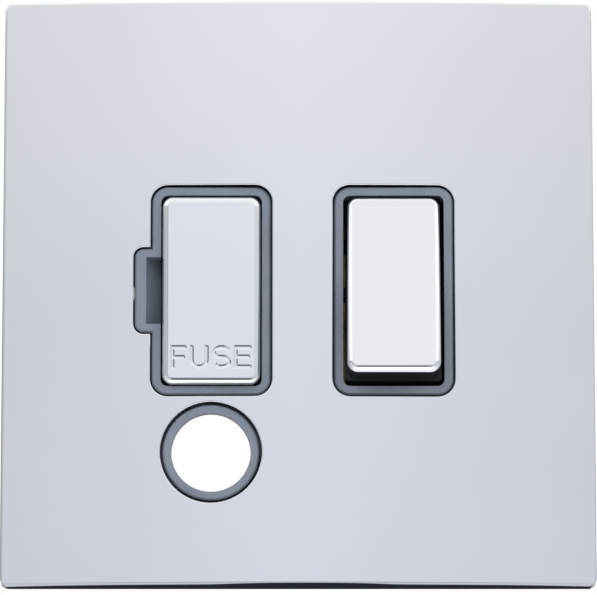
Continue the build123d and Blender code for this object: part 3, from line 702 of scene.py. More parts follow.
@dataclass
class FrontPlate:
    """Pressed plate, crowned from side to side, with rounded openings."""

    size: float = 90.0
    depth: float = 6.0
    crown: float = 1.6
    sheet: float = 1.5
    corner: float = 1.0
    inner_corner: float = 0.3
    edge: float = 0.35
    lip: float = 0.18
    gap: float = 0.25
    collar: Triple = (18.0, 32.1, 2.4)
    notch: Triple = (2.6, 12.9, 1.3)
    fuse_x: float = -13.2
    rocker_x: float = 14.5
    outlet: Triple = (-13.2, -24.9, 7.7)
    grid_step: float = 3.0
    grid_margin: float = 0.6
    grid_clear: float = 1.2
    corner_runs: int = 6
    inner_runs: int = 3
    edge_runs: int = 8
    lip_runs: int = 5
    notch_runs: int = 8
    outlet_runs: int = 64

    def openings(self) -> list[Outline]:
        """Outlines of the fuse opening with its notch on the left, the rocker's opening and the outlet.

        Returns:
            The three outlines.
        """
        width, height, radius = (v + k * self.gap for v, k in zip(self.collar, (2, 2, 1)))
        reach, half, turn = self.notch[0] + self.gap, self.notch[1] / 2 + self.gap, self.notch[2] + self.gap
        wall = self.fuse_x - width / 2
        turn_x = wall + self.gap - reach + turn
        fuse, rocker = (Rectangle(x, 0, (width, height, radius)) for x in (self.fuse_x, self.rocker_x))
        *others, lower_left = fuse.corners()
        notch = ([(wall, half)] + arc(turn_x, half - turn, turn, 90, 90, self.notch_runs)
                 + arc(turn_x, turn - half, turn, 180, 90, self.notch_runs) + [(wall, -half)])
        outlet = arc(*self.outlet, 0, 360, self.outlet_runs)[:-1]
        return [stepped(sum(others, []) + notch + lower_left), rocker.outline(), Outline(tuple(outlet))]

    def build(self) -> Piece:
        """Build the plate as one closed shell.

        Returns:
            The piece.
        """
        shell = Shell("chrome_front_plate")
        within = self.size - 2 * self.sheet
        outer = Rectangle(0, 0, (self.size, self.size, self.corner), self.corner_runs).outline()
        inner = Rectangle(0, 0, (within, within, self.inner_corner), self.inner_runs).outline()
        holes = self.openings()
        inside = self.sheet - self.depth
        face, back = shell.rim(outer, self.edge, (-self.depth, 0), Rim.OUTER, self.edge_runs)
        lip = shell.ring(inner, 0, 0, 90, Rim.HOLE)
        roof = shell.ring(inner, 0, inside, 90, Rim.HOLE)
        shell.hollow(back, lip, roof)
        span = (-self.depth, inside)
        fronts, backs = zip(*[shell.rim(hole, self.lip, span, Rim.HOLE, self.lip_runs) for hole in holes])
        shell.fill([face, *fronts], Facing.ROOM, extra=self.grid(shell, -self.depth, holes))
        shell.fill([roof, *backs], Facing.WALL, plain=True, extra=self.grid(shell, inside, holes))
        self.bend(shell)
        return shell.make()

    def grid(self, shell: Shell, depth: float, holes: list[Outline]) -> tuple[int, ...]:
        """Add points over a face, clear of its edges, so that it can follow the crown.

        Args:
            shell: The plate's mesh.
            depth: Place of the face along Y.
            holes: The openings.

        Returns:
            The points' numbers.
        """
        reach = self.size / 2 - self.sheet - self.grid_margin
        count = int(2 * reach / self.grid_step)
        lines = [-reach + 2 * reach * i / count for i in range(count + 1)]
        out = Vector((0.0, -1.0, 0.0))
        return tuple(shell.point(Vector((x, depth, z)), out) for x in lines for z in lines
                     if not any(h.holds(x, z) or h.distance(x, z) < self.grid_clear for h in holes))

    def bend(self, shell: Shell) -> None:
        """Bend the flat plate to its crown, with its normals."""
        half = self.size / 2
        radius = (half**2 + self.crown**2) / (2 * self.crown)
        inside = self.sheet - self.depth
        for place, normal in zip(shell.points, shell.normals):
            share = min(1.0, place.y / inside)
            slope = place.x / sqrt(radius**2 - place.x**2) * share
            place.y += (radius - sqrt(radius**2 - place.x**2)) * share
            normal.x -= normal.y * slope
            normal.normalize()

    def dress(self, palette: Palette) -> None:
        """Build the plate and finish it in chrome."""
        palette.dress(self.build(), Body.PLATE, Slot.CHROME, "front_plate")


@dataclass
class Lettering:
    """Plain stroke capitals of one height, as closed outlines."""

    height: float = 3.5
    stroke: float = 0.52
    run: float = 0.2
    arm: float = 0.92
    f_arm: float = 0.42
    e_arm: float = 0.44

    def stem(self, foot: float, head: float, middle: Flat | None = None) -> list[Flat]:
        """Outline of an upright with level arms.

        Args:
            foot: Reach of the arm at the foot, or the stroke where there is none.
            head: Reach of the arm at the head, or the stroke where there is none.
            middle: Height and reach of an arm between them.

        Returns:
            The outline's points.
        """
        s, h = self.stroke, self.height
        line = [(0, 0), (foot, 0)]
        if foot > s:
            line += [(foot, s), (s, s)]
        if middle:
            low, reach = middle
            line += [(s, low), (reach, low), (reach, low + s), (s, low + s)]
        if head > s:
            line += [(s, h - s), (head, h - s)]
        return line + [(head, h), (0, h)]

    def letter_f(self, width: float) -> list[Flat]:
        """Outline of an F."""
        return self.stem(self.stroke, width, (self.f_arm * self.height, self.arm * width))

    def letter_e(self, width: float) -> list[Flat]:
        """Outline of an E."""
        return self.stem(width, width, (self.e_arm * self.height, self.arm * width))

    def letter_l(self, width: float) -> list[Flat]:
        """Outline of an L."""
        return self.stem(width, self.stroke)

    def letter_n(self, width: float) -> list[Flat]:
        """Outline of an N."""
        s, h = self.stroke, self.height
        return [(0, 0), (s, 0), (s, h - 2 * s), (width - s, 0), (width, 0), (width, h), (width - s, h),
                (width - s, 2 * s), (s, h), (0, h)]

    def letter_u(self, width: float) -> list[Flat]:
        """Outline of a U."""
        s, h, r = self.stroke, self.height, width / 2
        return ([(0, h)] + arc(r, r, r, 180, 180, 16) + [(width, h), (width - s, h)]
                + arc(r, r, r - s, 360, -180, 14) + [(s, h)])

    def letter_s(self, width: float) -> list[Flat]:
        """Outline of an S, from a spine of two ovals with an even width on both sides."""
        s, h = self.stroke, self.height
        a, b = (width - s) / 2, (h - s) / 4
        upper, lower, skipped = range(28, 271, 9), range(81, -153, -9), 3
        spine = []
        for middle, angles in ((h - s / 2 - b, upper), (s / 2 + b, lower)):
            spine += [(width / 2 + a * cos(radians(t)), middle + b * sin(radians(t))) for t in angles]
        spine = spine[:1] + spine[skipped:-skipped] + spine[-1:]
        left, right = [], []
        for i, (x, z) in enumerate(spine):
            before, after = spine[max(i - 1, 0)], spine[min(i + 1, len(spine) - 1)]
            way = Vector((after[0] - before[0], after[1] - before[1])).normalized() * (s / 2)
            left.append((x - way.y, z + way.x))
            right.append((x + way.y, z - way.x))
        return right + left[::-1]

    def set_word(self, word: str, widths: list[float], starts: list[float], x: float,
                 z: float) -> list[Outline]:
        """Lay out a word.

        Args:
            word: The letters.
            widths: Width of each letter in mm.
            starts: Left side of each letter from the word's own left side.
            x: Left side of the word in mm.
            z: Foot of the word in mm.

        Returns:
            One outline for each letter.
        """
        made = []
        for letter, width, start in zip(word.lower(), widths, starts):
            shape = getattr(self, f"letter_{letter}")(width)
            made.append(stepped([(x + start + u, z + v) for u, v in shape], self.run))
        return made


@dataclass
class FuseDrawerFront:
    """Chrome cap of the fuse drawer, with its function engraved near the foot."""

    x: float = -13.2
    width: float = 14.9
    height: float = 28.8
    foot: float = 0.18
    front: float = -6.6
    skirt: float = 2.4
    corner: float = 1.55
    edge: float = 1.0
    edge_runs: int = 10
    skin: float = 0.8
    word_foot: float = -12.2
    word_left: float = -6.1
    widths: list[float] = field(default_factory=lambda: [2.33, 2.8, 2.8, 2.63])
    starts: list[float] = field(default_factory=lambda: [0.0, 2.91, 6.3, 9.57])
    groove: float = 0.06
    lettering: Lettering = field(default_factory=Lettering)

    # Widening in mm, share of the groove's depth and lean of each ring from the face to the floor
    GROOVE_RINGS = ((0.08, 0.0, 0.0), (0.07, 0.03, 7.0), (0.02, 0.2, 10.0), (-0.05, 0.5, 11.5),
                    (-0.12, 0.8, 10.5), (-0.17, 0.95, 8.0), (-0.19, 0.99, 4.0), (-0.2, 1.0, 0.0))

    def build(self) -> Piece:
        """Build the cap as one closed shell with the letters cut into its face.

        Returns:
            The piece.
        """
        shell = Shell("chrome_fuse_cap")
        end, walls = self.front + self.skirt, 2 * self.skin
        size = (self.width, self.height + self.foot, self.corner)
        core_size = (self.width - walls, self.height - walls, self.corner - self.skin)
        outer = Rectangle(self.x, -self.foot / 2, size).outline()
        core = Rectangle(self.x, 0, core_size).outline()
        face, back = shell.rim(outer, self.edge, (self.front, end), Rim.OUTER, self.edge_runs)
        lip = shell.ring(core, 0, end, 90, Rim.HOLE)
        roof = shell.ring(core, 0, self.front + self.skin, 90, Rim.HOLE)
        shell.hollow(back, lip, roof)
        shell.fill([roof], Facing.WALL, plain=True)
        left = self.x + self.word_left
        letters = self.lettering.set_word("FUSE", self.widths, self.starts, left, self.word_foot)
        shell.fill([face, *[self.engrave(shell, letter) for letter in letters]], Facing.ROOM)
        return shell.make()

    def engrave(self, shell: Shell, letter: Outline) -> list[int]:
        """Cut one letter into the face.

        Args:
            shell: The cap's mesh.
            letter: Outline of the letter.

        Returns:
            The ring where the groove meets the face.
        """
        rings = [shell.ring(letter, -grow, self.front + depth * self.groove, lean, Rim.HOLE)
                 for grow, depth, lean in self.GROOVE_RINGS]
        shell.chain(rings, Rim.HOLE)
        shell.fill([rings[-1]], Facing.ROOM)
        return rings[0]

    def dress(self, palette: Palette) -> None:
        """Build the cap and finish it in chrome."""
        palette.dress(self.build(), Body.FUSE_CARRIER, Slot.CHROME, "fuse_cap", cap=True)


@dataclass
class RockerSwitch:
    """Chrome cap of the rocker and the round-wire springs behind its plungers."""

    x: float = 14.5
    width: float = 14.44
    height: float = 28.2
    corner: float = 1.6
    draft: float = 2.0
    skirt: float = 4.6
    front: float = -7.58
    crease: float = 0.42
    crease_lean: float = 34.0
    crease_runs: int = 6
    roll: float = 1.12
    roll_runs: int = 14
    depth: float = 1.1
    skin: float = 0.8
    pivot: float = -1.4
    tilt: float = -8.0
    pole_pitch: float = 7.2
    wire: float = 0.18
    coil: float = 1.12
    turns: int = 4
    turn_steps: int = 28
    wire_sides: int = 10
    spring_seat: float = -0.6
    plunger_tail: float = 3.6
    clear: float = 0.05

    def place(self) -> Matrix:
        """The turn from level to the off position."""
        centre = Matrix.Translation((self.x, self.pivot, 0.0))
        return centre @ Matrix.Rotation(radians(self.tilt), 4, "X") @ centre.inverted()

    def bend(self) -> list[Triple]:
        """Profile of the cap's edge, a tight crease and then a broad roll down to its side.

        Returns:
            For each ring its reach from the face's border, its depth below the face and its lean.
        """
        rows = [(0.0, 0.0, 0.0)]
        for length, start, end, count in ((self.crease, 0.0, self.crease_lean, self.crease_runs),
                                          (self.roll, self.crease_lean, 90.0 - self.draft, self.roll_runs)):
            for i in range(count):
                reach, depth, _ = rows[-1]
                step = length / count
                middle = radians(start + (end - start) * (i + 0.5) / count)
                lean = start + (end - start) * (i + 1) / count
                rows.append((reach + step * cos(middle), depth + step * sin(middle), lean))
        return rows

    def build_cap(self) -> Piece:
        """Build the chrome cap, drafted all round, as one closed shell.

        Returns:
            The piece.
        """
        shell = Shell("chrome_rocker_cap")
        taper = tan(radians(self.draft))
        inset = 2 * self.skirt * taper
        outer = Rectangle(self.x, 0, (self.width - inset, self.height - inset, self.corner)).outline()
        profile = self.bend()
        full, foot, side = profile[-1]
        flare, low = self.depth * taper, self.front + self.depth
        rings = [shell.ring(outer, foot * taper + reach - full, self.front + depth, lean, Rim.OUTER)
                 for reach, depth, lean in profile]
        rings.append(shell.ring(outer, flare, low, side, Rim.OUTER))
        shell.chain(rings)
        lip = shell.ring(outer, flare - self.skin, low, 90, Rim.OUTER)
        roof = shell.ring(outer, self.skin * (taper - 1), self.front + self.skin, 90, Rim.OUTER)
        shell.hollow(rings[-1], lip, roof)
        shell.fill([roof], Facing.WALL, plain=True)
        shell.fill([rings[0]], Facing.ROOM)
        return shell.make(self.place())

    def build_spring(self, name: str, side: int) -> Piece:
        """Build one coil spring of round wire.

        Args:
            name: Name of the piece.
            side: -1 for the neutral pole, 1 for the live one.

        Returns:
            The piece.
        """
        shell = Shell(name)
        centre = self.x + side * self.pole_pitch / 2
        ends = self.wire + self.clear
        start = self.pivot + self.spring_seat + ends
        length = self.plunger_tail - self.spring_seat - 2 * ends
        steps = self.turns * self.turn_steps
        rings = []
        for i in range(steps + 1):
            angle = 2 * pi * self.turns * i / steps
            out = Vector((cos(angle), 0.0, sin(angle)))
            along = Vector((-sin(angle) * self.coil, length / (2 * pi * self.turns), cos(angle) * self.coil))
            up = along.normalized().cross(out)
            middle = Vector((centre, start + length * i / steps, 0.0)) + out * self.coil
            normals = [out * cos(turn) + up * sin(turn) for turn in circle(self.wire_sides)]
            rings.append([shell.point(middle + normal * self.wire, normal) for normal in normals])
        shell.chain(rings)
        shell.face(rings[0], plain=True)
        shell.face(rings[-1][::-1], plain=True)
        return shell.make(self.place())

    def dress(self, palette: Palette) -> None:
        """Build and finish the cap and both springs."""
        palette.dress(self.build_cap(), Body.ROCKER, Slot.CHROME, "rocker_cap", cap=True)
        for pole, side in (("neutral", -1), ("live", 1)):
            spring = self.build_spring(f"{pole}_coil_spring", side)
            palette.dress(spring, Body.ROCKER, Slot.STEEL, f"{pole}_plunger_spring")


@dataclass(frozen=True)
class ScrewSize:
    """Sizes of one kind of slotted screw, in mm, and what share of its shank or head some of them are."""

    shank: float
    head: float
    thick: float
    pitch: float
    slot: float = 0.6
    slot_depth: float = 0.45
    slot_share: float = 0.78
    tip: float = 0.15
    tip_share: float = 0.72
    thread_share: float = 0.2
    bevel_share: float = 0.18

    # How far inwards and below the top the head's rounded rim runs, in bevels
    RIM_STEPS = ((0.0, 1.0), (0.4, 0.3), (1.3, 0.0))

    def head_profile(self) -> list[Flat]:
        """Radius and height of the head, from its seat over its rounded rim to its top."""
        bevel = self.bevel_share * self.thick
        return [(self.head, 0.0), *[(self.head - bevel * inwards, self.thick - bevel * down)
                                    for inwards, down in self.RIM_STEPS]]


@dataclass(frozen=True)
class ScrewPlace:
    """Where one screw stands: its axis, its tip and seat along Y, and the turn of its slot."""

    x: float
    z: float
    tip: float
    seat: float
    turn: float


@dataclass
class Screws:
    """The slotted screws, with rounded heads and cut threads, in four groups."""

    small: ScrewSize = ScrewSize(1.1, 2.0, 1.3, 0.5)
    low: ScrewSize = ScrewSize(1.1, 2.0, 0.7, 0.5)
    terminal: ScrewSize = ScrewSize(1.6, 2.3, 1.4, 0.6)
    sides: int = 48
    rows_per_pitch: int = 6
    fewest_rows: int = 4

    def add(self, shell: Shell, size: ScrewSize, place: ScrewPlace) -> None:
        """Add one screw to a group's mesh.

        Args:
            shell: The group's mesh.
            size: Sizes of the screw.
            place: Where it stands.
        """
        out = 1.0 if place.seat > place.tip else -1.0
        shank = abs(place.seat - place.tip)
        rows = max(self.fewest_rows, int(shank / size.pitch * self.rows_per_pitch))
        angles = circle(self.sides)
        if out < 0:
            angles.reverse()

        def row(height: float, reach: float, thread: float = 0.0) -> list[int]:
            """Add one ring round the screw at a height above the tip."""
            made = []
            for angle in angles:
                phase = (height / size.pitch - out * angle / (2 * pi)) % 1.0
                r = reach - thread * abs(2.0 * phase - 1.0)
                way = Vector((cos(angle), 0.0, sin(angle)))
                made.append(shell.point(Vector((place.x, place.tip + out * height, place.z)) + way * r, way))
            return made

        rings = [row(0.0, size.shank * size.tip_share)]
        for i in range(rows + 1):
            thread = size.thread_share * size.shank if 0 < i < rows else 0.0
            rings.append(row(size.tip + (shank - size.tip) * i / rows, size.shank, thread))
        shell.face(rings[0], plain=True)
        rings += [row(shank + height, reach) for reach, height in size.head_profile()]
        shell.chain(rings, Rim.HOLE, plain=True)
        self.slot_top(shell, size, place, rings[-1], out)

    def slot_top(self, shell: Shell, size: ScrewSize, place: ScrewPlace, rim: list[int], out: float) -> None:
        """Close the head with a slotted top.

        Args:
            shell: The group's mesh.
            size: Sizes of the screw.
            place: Where it stands.
            rim: The last ring of the head.
            out: Which way the head looks along Y.
        """
        top = shell.points[rim[0]].y
        a, b = size.head * size.slot_share, size.slot / 2
        turn = Matrix.Rotation(radians(place.turn), 2)
        corners = [turn @ Vector(c) for c in ((-a, -b), (a, -b), (a, b), (-a, b))]
        normal = Vector((0.0, out, 0.0))
        brim, floor = ([shell.point(Vector((place.x + c.x, y, place.z + c.y)), normal) for c in corners]
                       for y in (top, top - out * size.slot_depth))
        facing = Facing.WALL if out > 0 else Facing.ROOM
        shell.fill([rim, brim], facing, plain=True)
        shell.chain([brim, floor], Rim.OUTER if out > 0 else Rim.HOLE, plain=True)
        shell.fill([floor], facing, plain=True)

    def group(self, name: str, node: str, size: ScrewSize, places: list[ScrewPlace],
              palette: Palette) -> None:
        """Build and finish one group of screws.

        Args:
            name: Name of the piece.
            node: The CAD node that it stands for.
            size: Sizes of the screws.
            places: Where they stand.
            palette: The finishes.
        """
        shell = Shell(name)
        for place in places:
            self.add(shell, size, place)
        palette.dress(shell.make(), Body.BASE, Slot.STEEL, node)

    def dress(self, palette: Palette) -> None:
        """Build and finish all four groups."""
        frame_places = [ScrewPlace(x, z, 0.0, -2.3, turn) for x, z, turn in
                        ((-27.6, 17.0, 20.0), (-27.6, -20.0, -55.0), (27.6, 17.0, 75.0), (27.6, -20.0, 8.0))]
        cover_places = [ScrewPlace(x, z, 6.0, 16.8, turn) for x, z, turn in
                        ((-22.4, 17.4, 35.0), (22.4, 17.4, -20.0), (-22.4, -30.9, 80.0), (22.4, -17.4, 12.0))]
        terminal_places = [ScrewPlace(x, -28.0, 18.75, 21.6, turn) for x, turn in
                           ((1.8, 15.0), (8.2, -40.0), (14.6, 62.0), (21.0, 5.0))]
        terminal_places.append(ScrewPlace(-13.0, 27.0, 5.05, 7.9, 28.0))
        grip_places = [ScrewPlace(x, -11.6, 14.3, 19.0, turn) for x, turn in ((-21.8, -12.0), (-4.6, 50.0))]
        self.group("frame_fixing_screws", "frame_screws", self.low, frame_places, palette)
        self.group("rear_cover_screws", "cover_screws", self.small, cover_places, palette)
        self.group("terminal_clamp_screws", "terminal_screws", self.terminal, terminal_places, palette)
        self.group("grip_clamp_screws", "cord_grip_screws", self.small, grip_places, palette)


@dataclass
class FuseCups:
    """The two plated cups of the cartridge fuse, with a dimpled end, a crimp and rolled rims."""

    x: float = -13.2
    y: float = 2.4
    radius: float = 3.175
    half: float = 12.7
    length: float = 5.6
    wall: float = 0.28
    roll: float = 0.35
    dimple: Triple = (0.9, 1.5, 0.06)
    crimp: Triple = (1.1, 0.7, 0.09)
    lip: float = 0.08
    runs: int = 6
    sides: int = 56

    def profile(self) -> list[Triple]:
        """Radius, distance from the end and lean of the normal, from the middle of the end to the inside.

        Returns:
            The rows in order.
        """
        floor, brim, sunk = self.dimple
        from_mouth, wide, deep = self.crimp
        line = [(floor, sunk, 90.0), (brim, 0.0, 90.0)]
        for i in range(self.runs + 1):
            lean = 90.0 - 90.0 * i / self.runs
            line.append((self.radius - self.roll + self.roll * cos(radians(lean)),
                         self.roll - self.roll * sin(radians(lean)), lean))
        for i in range(self.runs + 1):
            line.append((self.radius - deep * sin(pi * i / self.runs),
                         self.length - from_mouth - wide / 2 + wide * i / self.runs, 0.0))
        return line + [(self.radius, self.length - self.lip, 0.0),
                       (self.radius - self.lip, self.length, -45.0),
                       (self.radius - self.wall, self.length, -90.0)]

    def build(self) -> Piece:
        """Build both cups.

        Returns:
            The piece.
        """
        shell = Shell("fuse_end_cups")
        ways = [Vector((cos(angle), sin(angle), 0.0)) for angle in circle(self.sides)]
        for side in (-1, 1):
            rings = []
            for reach, inset, lean in self.profile():
                middle = Vector((self.x, self.y, side * (self.half - inset)))
                along = Vector((0.0, 0.0, side * sin(radians(lean))))
                ring = [shell.point(middle + way * reach, way * cos(radians(lean)) + along) for way in ways]
                rings.append(ring[::side])
            shell.chain(rings)
            shell.face(rings[0], plain=True)
            back = [shell.point(Vector((p.x, p.y, side * (self.half - self.wall))), Vector((0, 0, -side)))
                    for p in (shell.points[i] for i in rings[-1])]
            shell.band(rings[-1], back, plain=True)
            shell.face(back[::-1], plain=True)
        return shell.make()

    def dress(self, palette: Palette) -> None:
        """Build the cups and finish them in nickel."""
        palette.dress(self.build(), Body.FUSE_CARRIER, Slot.CUPS, "fuse_end_caps")


@dataclass
class TerminalMarks:
    """Raised pole letters moulded on the rear cover, above the terminals they mark."""

    back: float = 16.8
    raised: float = 0.2
    sunk: float = 0.02
    taper: float = 0.06
    foot: float = -22.2
    width: float = 1.5
    places: tuple[tuple[str, float], ...] = (("L", 1.8), ("N", 8.2), ("N", 14.6), ("L", 21.0))
    lettering: Lettering = field(default_factory=lambda: Lettering(2.4, 0.4))

    def build(self) -> Piece:
        """Build all four letters as one piece, readable from behind.

        Returns:
            The piece.
        """
        shell = Shell("terminal_marks")
        for letter, x in self.places:
            seen = self.lettering.set_word(letter, [self.width], [0.0], -x - self.width / 2, self.foot)[0]
            outline = Outline(tuple((-u, v) for u, v in reversed(seen.points)))
            top = shell.ring(outline, -self.taper, self.back + self.raised, 90, Rim.OUTER)
            base = shell.ring(outline, 0.0, self.back - self.sunk, 90, Rim.OUTER)
            shell.band(base, top, plain=True)
            shell.fill([top], Facing.WALL, plain=True)
            shell.fill([base], Facing.ROOM, plain=True)
        return shell.make()

    def dress(self, palette: Palette) -> None:
        """Build the letters and finish them like the cover they are moulded on."""
        palette.dress(self.build(), Body.BASE, Slot.MOULDING)


@dataclass
class CadNodes:
    """The CAD solids that show as they are, by finish."""

    finishes: dict[Slot, tuple[str, ...]] = field(default_factory=lambda: {
        Slot.MOULDING: ("front_housing", "rear_cover", "cord_grip"),
        Slot.DARK: ("fuse_drawer", "rocker_dolly"),
        Slot.NYLON: ("live_plunger", "neutral_plunger"),
        Slot.STEEL: ("mounting_frame", "plate_clips"),
        Slot.BRASS: ("live_contact_arm", "neutral_contact_arm", "supply_live_link", "supply_neutral_link",
                     "fuse_feed_link", "load_live_link", "load_neutral_link", "supply_live_terminal",
                     "supply_neutral_terminal", "load_live_terminal", "load_neutral_terminal",
                     "earth_terminal"),
        Slot.CERAMIC: ("fuse_tube",),
    })

    def dress(self, palette: Palette) -> None:
        """Give every shown node its finish."""
        for slot, names in self.finishes.items():
            for name in names:
                palette.dress_node(name, slot)


@dataclass(frozen=True)
class Flag:
    """A glowing studio card that only reflections see, painting a reflection into polished metal, with an
    even tone or one that fades to its sides.
    """

    name: str
    centre: Triple
    size: Flat
    turn: Triple = (0.0, 0.0, 0.0)
    oval: bool = False
    tone: Colour = (0.02, 0.022, 0.03)
    rim: Colour | None = None
    fade: Flat = (0.0, 1.0)
    oval_runs: int = 48

    def corners(self) -> list[Triple]:
        """Corners of the card, flat on its own plane."""
        w, h = self.size[0] / 2, self.size[1] / 2
        if self.oval:
            return [(w * u, h * v, 0.0) for u, v in arc(0, 0, 1, 0, 360, self.oval_runs)[:-1]]
        return [(-w, -h, 0.0), (w, -h, 0.0), (w, h, 0.0), (-w, h, 0.0)]

    def material(self) -> bpy.types.Material:
        """Build the card's own glow.

        Returns:
            The material.
        """
        material = bpy.data.materials.new(self.name)
        material.use_nodes = True
        nodes = Nodes(material.node_tree)
        tone = self.tone
        if self.rim is not None:
            side = nodes.math("ABSOLUTE", nodes.split("Object")[0])
            tone = nodes.mix(nodes.spread(side, 0.0, 1.0, *self.fade, "SMOOTHSTEP"), self.tone, self.rim)
        glow = nodes.add("Emission")
        nodes.feed(glow.inputs["Color"], tone)
        nodes.feed(nodes.tree.nodes["Material Output"].inputs["Surface"], glow.outputs["Emission"])
        return material

    def build(self) -> None:
        """Stand the card in the studio."""
        mesh = bpy.data.meshes.new(self.name)
        corners = self.corners()
        mesh.from_pydata(corners, [], [tuple(range(len(corners)))])
        mesh.materials.append(self.material())
        card = placed(self.name, mesh)
        card.location = self.centre
        card.rotation_euler = [radians(a) for a in self.turn]
        # Only reflections see the card, so its glow is a painted reflection
        card.visible_camera = False
        card.visible_diffuse = False
        card.visible_shadow = False


class Surroundings(Nodes):
    """The painted studio that polished metal mirrors; the camera itself sees plain white.

    Heights are the Z of a direction, and bearings run from 0 in front to 180 behind, left below 0.
    """

    FRONT = [(-1.0, (0.92, 0.92, 0.92)), (-0.2, (0.66, 0.67, 0.71)), (0.06, (0.70, 0.72, 0.78)),
             (0.128, (0.765, 0.781, 0.826)), (0.182, (0.783, 0.805, 0.826)), (0.237, (0.902, 0.890, 0.904)),
             (1.0, (0.93, 0.93, 0.94))]
    AHEAD = ((-25, 0.72), (-11.3, 0.88), (0, 1.0), (11.3, 0.89), (25, 0.87), (55, 0.86), (80, 0.82))
    LOW = ((-180, 0.5), (-165, 0.15), (-118, 0.15), (-98, 0.58), (-60, 0.62), *AHEAD,
           (120, 0.56), (150, 0.5), (180, 0.5))
    MIDDLE = ((-180, 0.75), (-118, 0.72), (-98, 0.64), (-60, 0.64), *AHEAD, (120, 0.68), (180, 0.75))
    HIGH = ((-180, 0.78), (-130, 0.82), (-90, 1.12), (-38, 1.12), (-18, 0.90), (0, 0.90), (18, 0.90),
            (38, 1.12), (90, 1.12), (130, 0.82), (180, 0.78))
    TOP = (0.98, 0.98, 0.99)
    LOW_TINT = (1.0, 1.0, 1.03)
    MIDDLE_TINT = (1.0, 1.0, 1.02)
    HIGH_TINT = (1.0, 1.005, 1.015)
    LOW_TO_MIDDLE = (0.165, 0.25)
    LOWER_TO_HIGH = (0.25, 0.33)
    HIGH_TO_TOP = (0.5, 0.8)

    def __init__(self) -> None:
        """Start a new world."""
        world = bpy.data.worlds.new("studio")
        world.use_nodes = True
        bpy.context.scene.world = world
        super().__init__(world.node_tree)

    def around(self, bearing: Socket, tones: tuple[Flat, ...], tint: Colour) -> Socket:
        """Tinted greys by bearing.

        Args:
            bearing: The bearing's socket, in degrees.
            tones: Bearings, rising, and their greys.
            tint: What the greys are multiplied by.

        Returns:
            The colour's socket.
        """
        return self.scaled_tones(bearing, [(b, tuple(v * t for t in tint)) for b, v in tones])

    def rise(self, height: Socket, span: Flat) -> Socket:
        """A share that rises from 0 to 1 over a span of height."""
        return self.scaled_tones(height, [(span[0], (0.0, 0.0, 0.0)), (span[1], (1.0, 1.0, 1.0))])

    def build(self) -> None:
        """Paint the surroundings by height and by bearing."""
        x, y, z = self.split("Generated")
        bearing = self.math("MULTIPLY", self.math("ARCTAN2", x, self.math("MULTIPLY", y, -1.0)), 180.0 / pi)
        low = self.around(bearing, self.LOW, self.LOW_TINT)
        middle = self.around(bearing, self.MIDDLE, self.MIDDLE_TINT)
        lower = self.mix(self.rise(z, self.LOW_TO_MIDDLE), low, middle)
        lower = self.mix(1.0, self.scaled_tones(z, self.FRONT), lower, "MULTIPLY")
        high = self.around(bearing, self.HIGH, self.HIGH_TINT)
        high = self.mix(self.rise(z, self.HIGH_TO_TOP), high, self.TOP)
        painted = self.tree.nodes["Background"]
        self.feed(painted.inputs["Color"], self.mix(self.rise(z, self.LOWER_TO_HIGH), lower, high))
        plain = self.add("Background")
        self.feed(plain.inputs["Color"], (1.0, 1.0, 1.0))
        both = self.add("MixShader")
        seen = self.add("LightPath").outputs["Is Camera Ray"]
        for target, source in zip(both.inputs, (seen, painted.outputs[0], plain.outputs[0])):
            self.feed(target, source)
        self.feed(self.tree.nodes["World Output"].inputs["Surface"], both.outputs["Shader"])


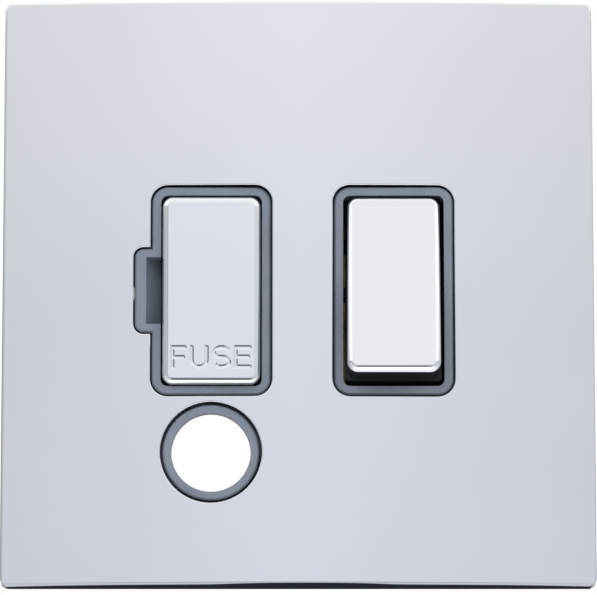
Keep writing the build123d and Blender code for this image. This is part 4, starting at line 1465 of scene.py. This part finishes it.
@dataclass
class Studio:
    """Camera, surroundings, floor, softboxes and the glowing cards that paint reflections into polished
    metal.
    """

    elevation: float = -10.5
    distance: float = 0.82
    aim: Triple = (0.00004, -0.006, -0.0012)
    lens: float = 325.7
    sensor: float = 36.0
    nearest: float = 0.01
    floor_z: float = -0.6
    floor_reach: float = 20.0
    # Floor tones outside and inside the pool of light painted on it
    floor_tones: tuple[Colour, Colour] = ((0.62, 0.62, 0.63), (0.93, 0.93, 0.93))
    floor_cloud: Grain = Grain(180.0, 2.0)
    floor_cloud_share: float = 0.06
    floor_roughness: float = 0.8
    # Where the painted pool of light fades out, across and along the floor, in metres
    painted_pool_sides: Flat = (0.2, 0.65)
    painted_pool_end: Flat = (0.0, 0.5)
    softbox_rows: tuple[tuple[str, Triple, float, float], ...] = (
        ("key_softbox", (-0.35, -0.75, 0.85), 0.7, 9.0), ("fill_softbox", (0.8, -0.5, 0.45), 0.6, 5.5))
    # Glowing cards that paint reflections into the chrome and light nothing else: card_front paints a dark
    # patch, lighter to its sides, in front of and below the part; flag_left paints darker reflections on the
    # left; the edge cards, one light and two dark, paint the band reflected along the plate's lower edge
    flags: tuple[Flag, ...] = (
        Flag("card_front", (0.0, -0.70, -0.30), (1.60, 0.60), (90.0, 0.0, 0.0), tone=(0.17, 0.18, 0.21),
             rim=(0.57, 0.58, 0.62), fade=(0.045, 0.17)),
        Flag("flag_left", (-0.297, -0.717, 0.08), (0.075, 0.34), (90.0, 0.0, -22.5), tone=(0.16, 0.17, 0.20)),
        Flag("edge_card", (0.0, 0.00175, -0.0455), (0.094, 0.0205), tone=(0.60, 0.61, 0.66)),
        Flag("edge_flag", (0.001, 0.0011, -0.0453), (0.094, 0.0095), oval=True),
        Flag("edge_flag_middle", (0.001, -0.0029, -0.0453), (0.036, 0.0072), oval=True),
    )

    def camera(self) -> None:
        """Set the camera at the photograph's angle."""
        data = bpy.data.cameras.new("view")
        data.lens = self.lens
        data.sensor_width = self.sensor
        data.clip_start = self.nearest
        eye = placed("view", data)
        tilt = radians(self.elevation)
        back = Vector((0.0, -cos(tilt), sin(tilt)))
        eye.location = Vector(self.aim) + back * self.distance
        eye.rotation_euler = (-back).to_track_quat("-Z", "Y").to_euler()
        bpy.context.scene.camera = eye

    def floor(self) -> None:
        """Lay the pale floor, with a pool of light painted into its colour, lightest in front of the part."""
        recipe = Recipe("pale_floor")
        x, y, _ = recipe.split("Object")
        # A pool of light painted into the floor's colour: lightest in front of and under the part, fading to
        # the sides and towards the back
        painted_light_pool = recipe.math("MULTIPLY", recipe.spread(recipe.math("ABSOLUTE", x), 1.0, 0.0, *self.painted_pool_sides),
                           recipe.spread(y, 1.0, 0.0, *self.painted_pool_end))
        tone = recipe.math("MULTIPLY_ADD", recipe.noise(self.floor_cloud), self.floor_cloud_share, painted_light_pool)
        stops = list(zip((0.0, 1.0), self.floor_tones))
        recipe.set({"Base Color": recipe.tones(tone, stops), "Roughness": self.floor_roughness})
        mesh = bpy.data.meshes.new("pale_floor")
        r, z = self.floor_reach, self.floor_z
        mesh.from_pydata([(-r, -r, z), (r, -r, z), (r, r, z), (-r, r, z)], [], [(0, 1, 2, 3)])
        mesh.materials.append(recipe.material)
        placed("pale_floor", mesh)

    def softboxes(self) -> None:
        """Hang the soft lights."""
        for name, place, size, power in self.softbox_rows:
            data = bpy.data.lights.new(name, "AREA")
            data.size = size
            data.energy = power
            light = placed(name, data)
            light.location = place
            light.rotation_euler = (-Vector(place)).to_track_quat("-Z", "Y").to_euler()
            light.visible_glossy = False

    def build(self) -> None:
        """Set up the whole studio."""
        bpy.context.scene.view_settings.view_transform = "Standard"
        self.camera()
        Surroundings().build()
        self.floor()
        for flag in self.flags:
            flag.build()
        self.softboxes()
        LOG.info("studio ready")


def main() -> None:
    """Build the studio and every piece in order, and report each one."""
    logging.basicConfig(level=logging.INFO, format="%(name)s: %(message)s")
    Studio().build()
    palette = Palette()
    for group in (CadNodes(), FrontPlate(), FuseDrawerFront(), RockerSwitch(), Screws(), FuseCups(),
                  TerminalMarks()):
        group.dress(palette)


if __name__ == "__main__":
    main()
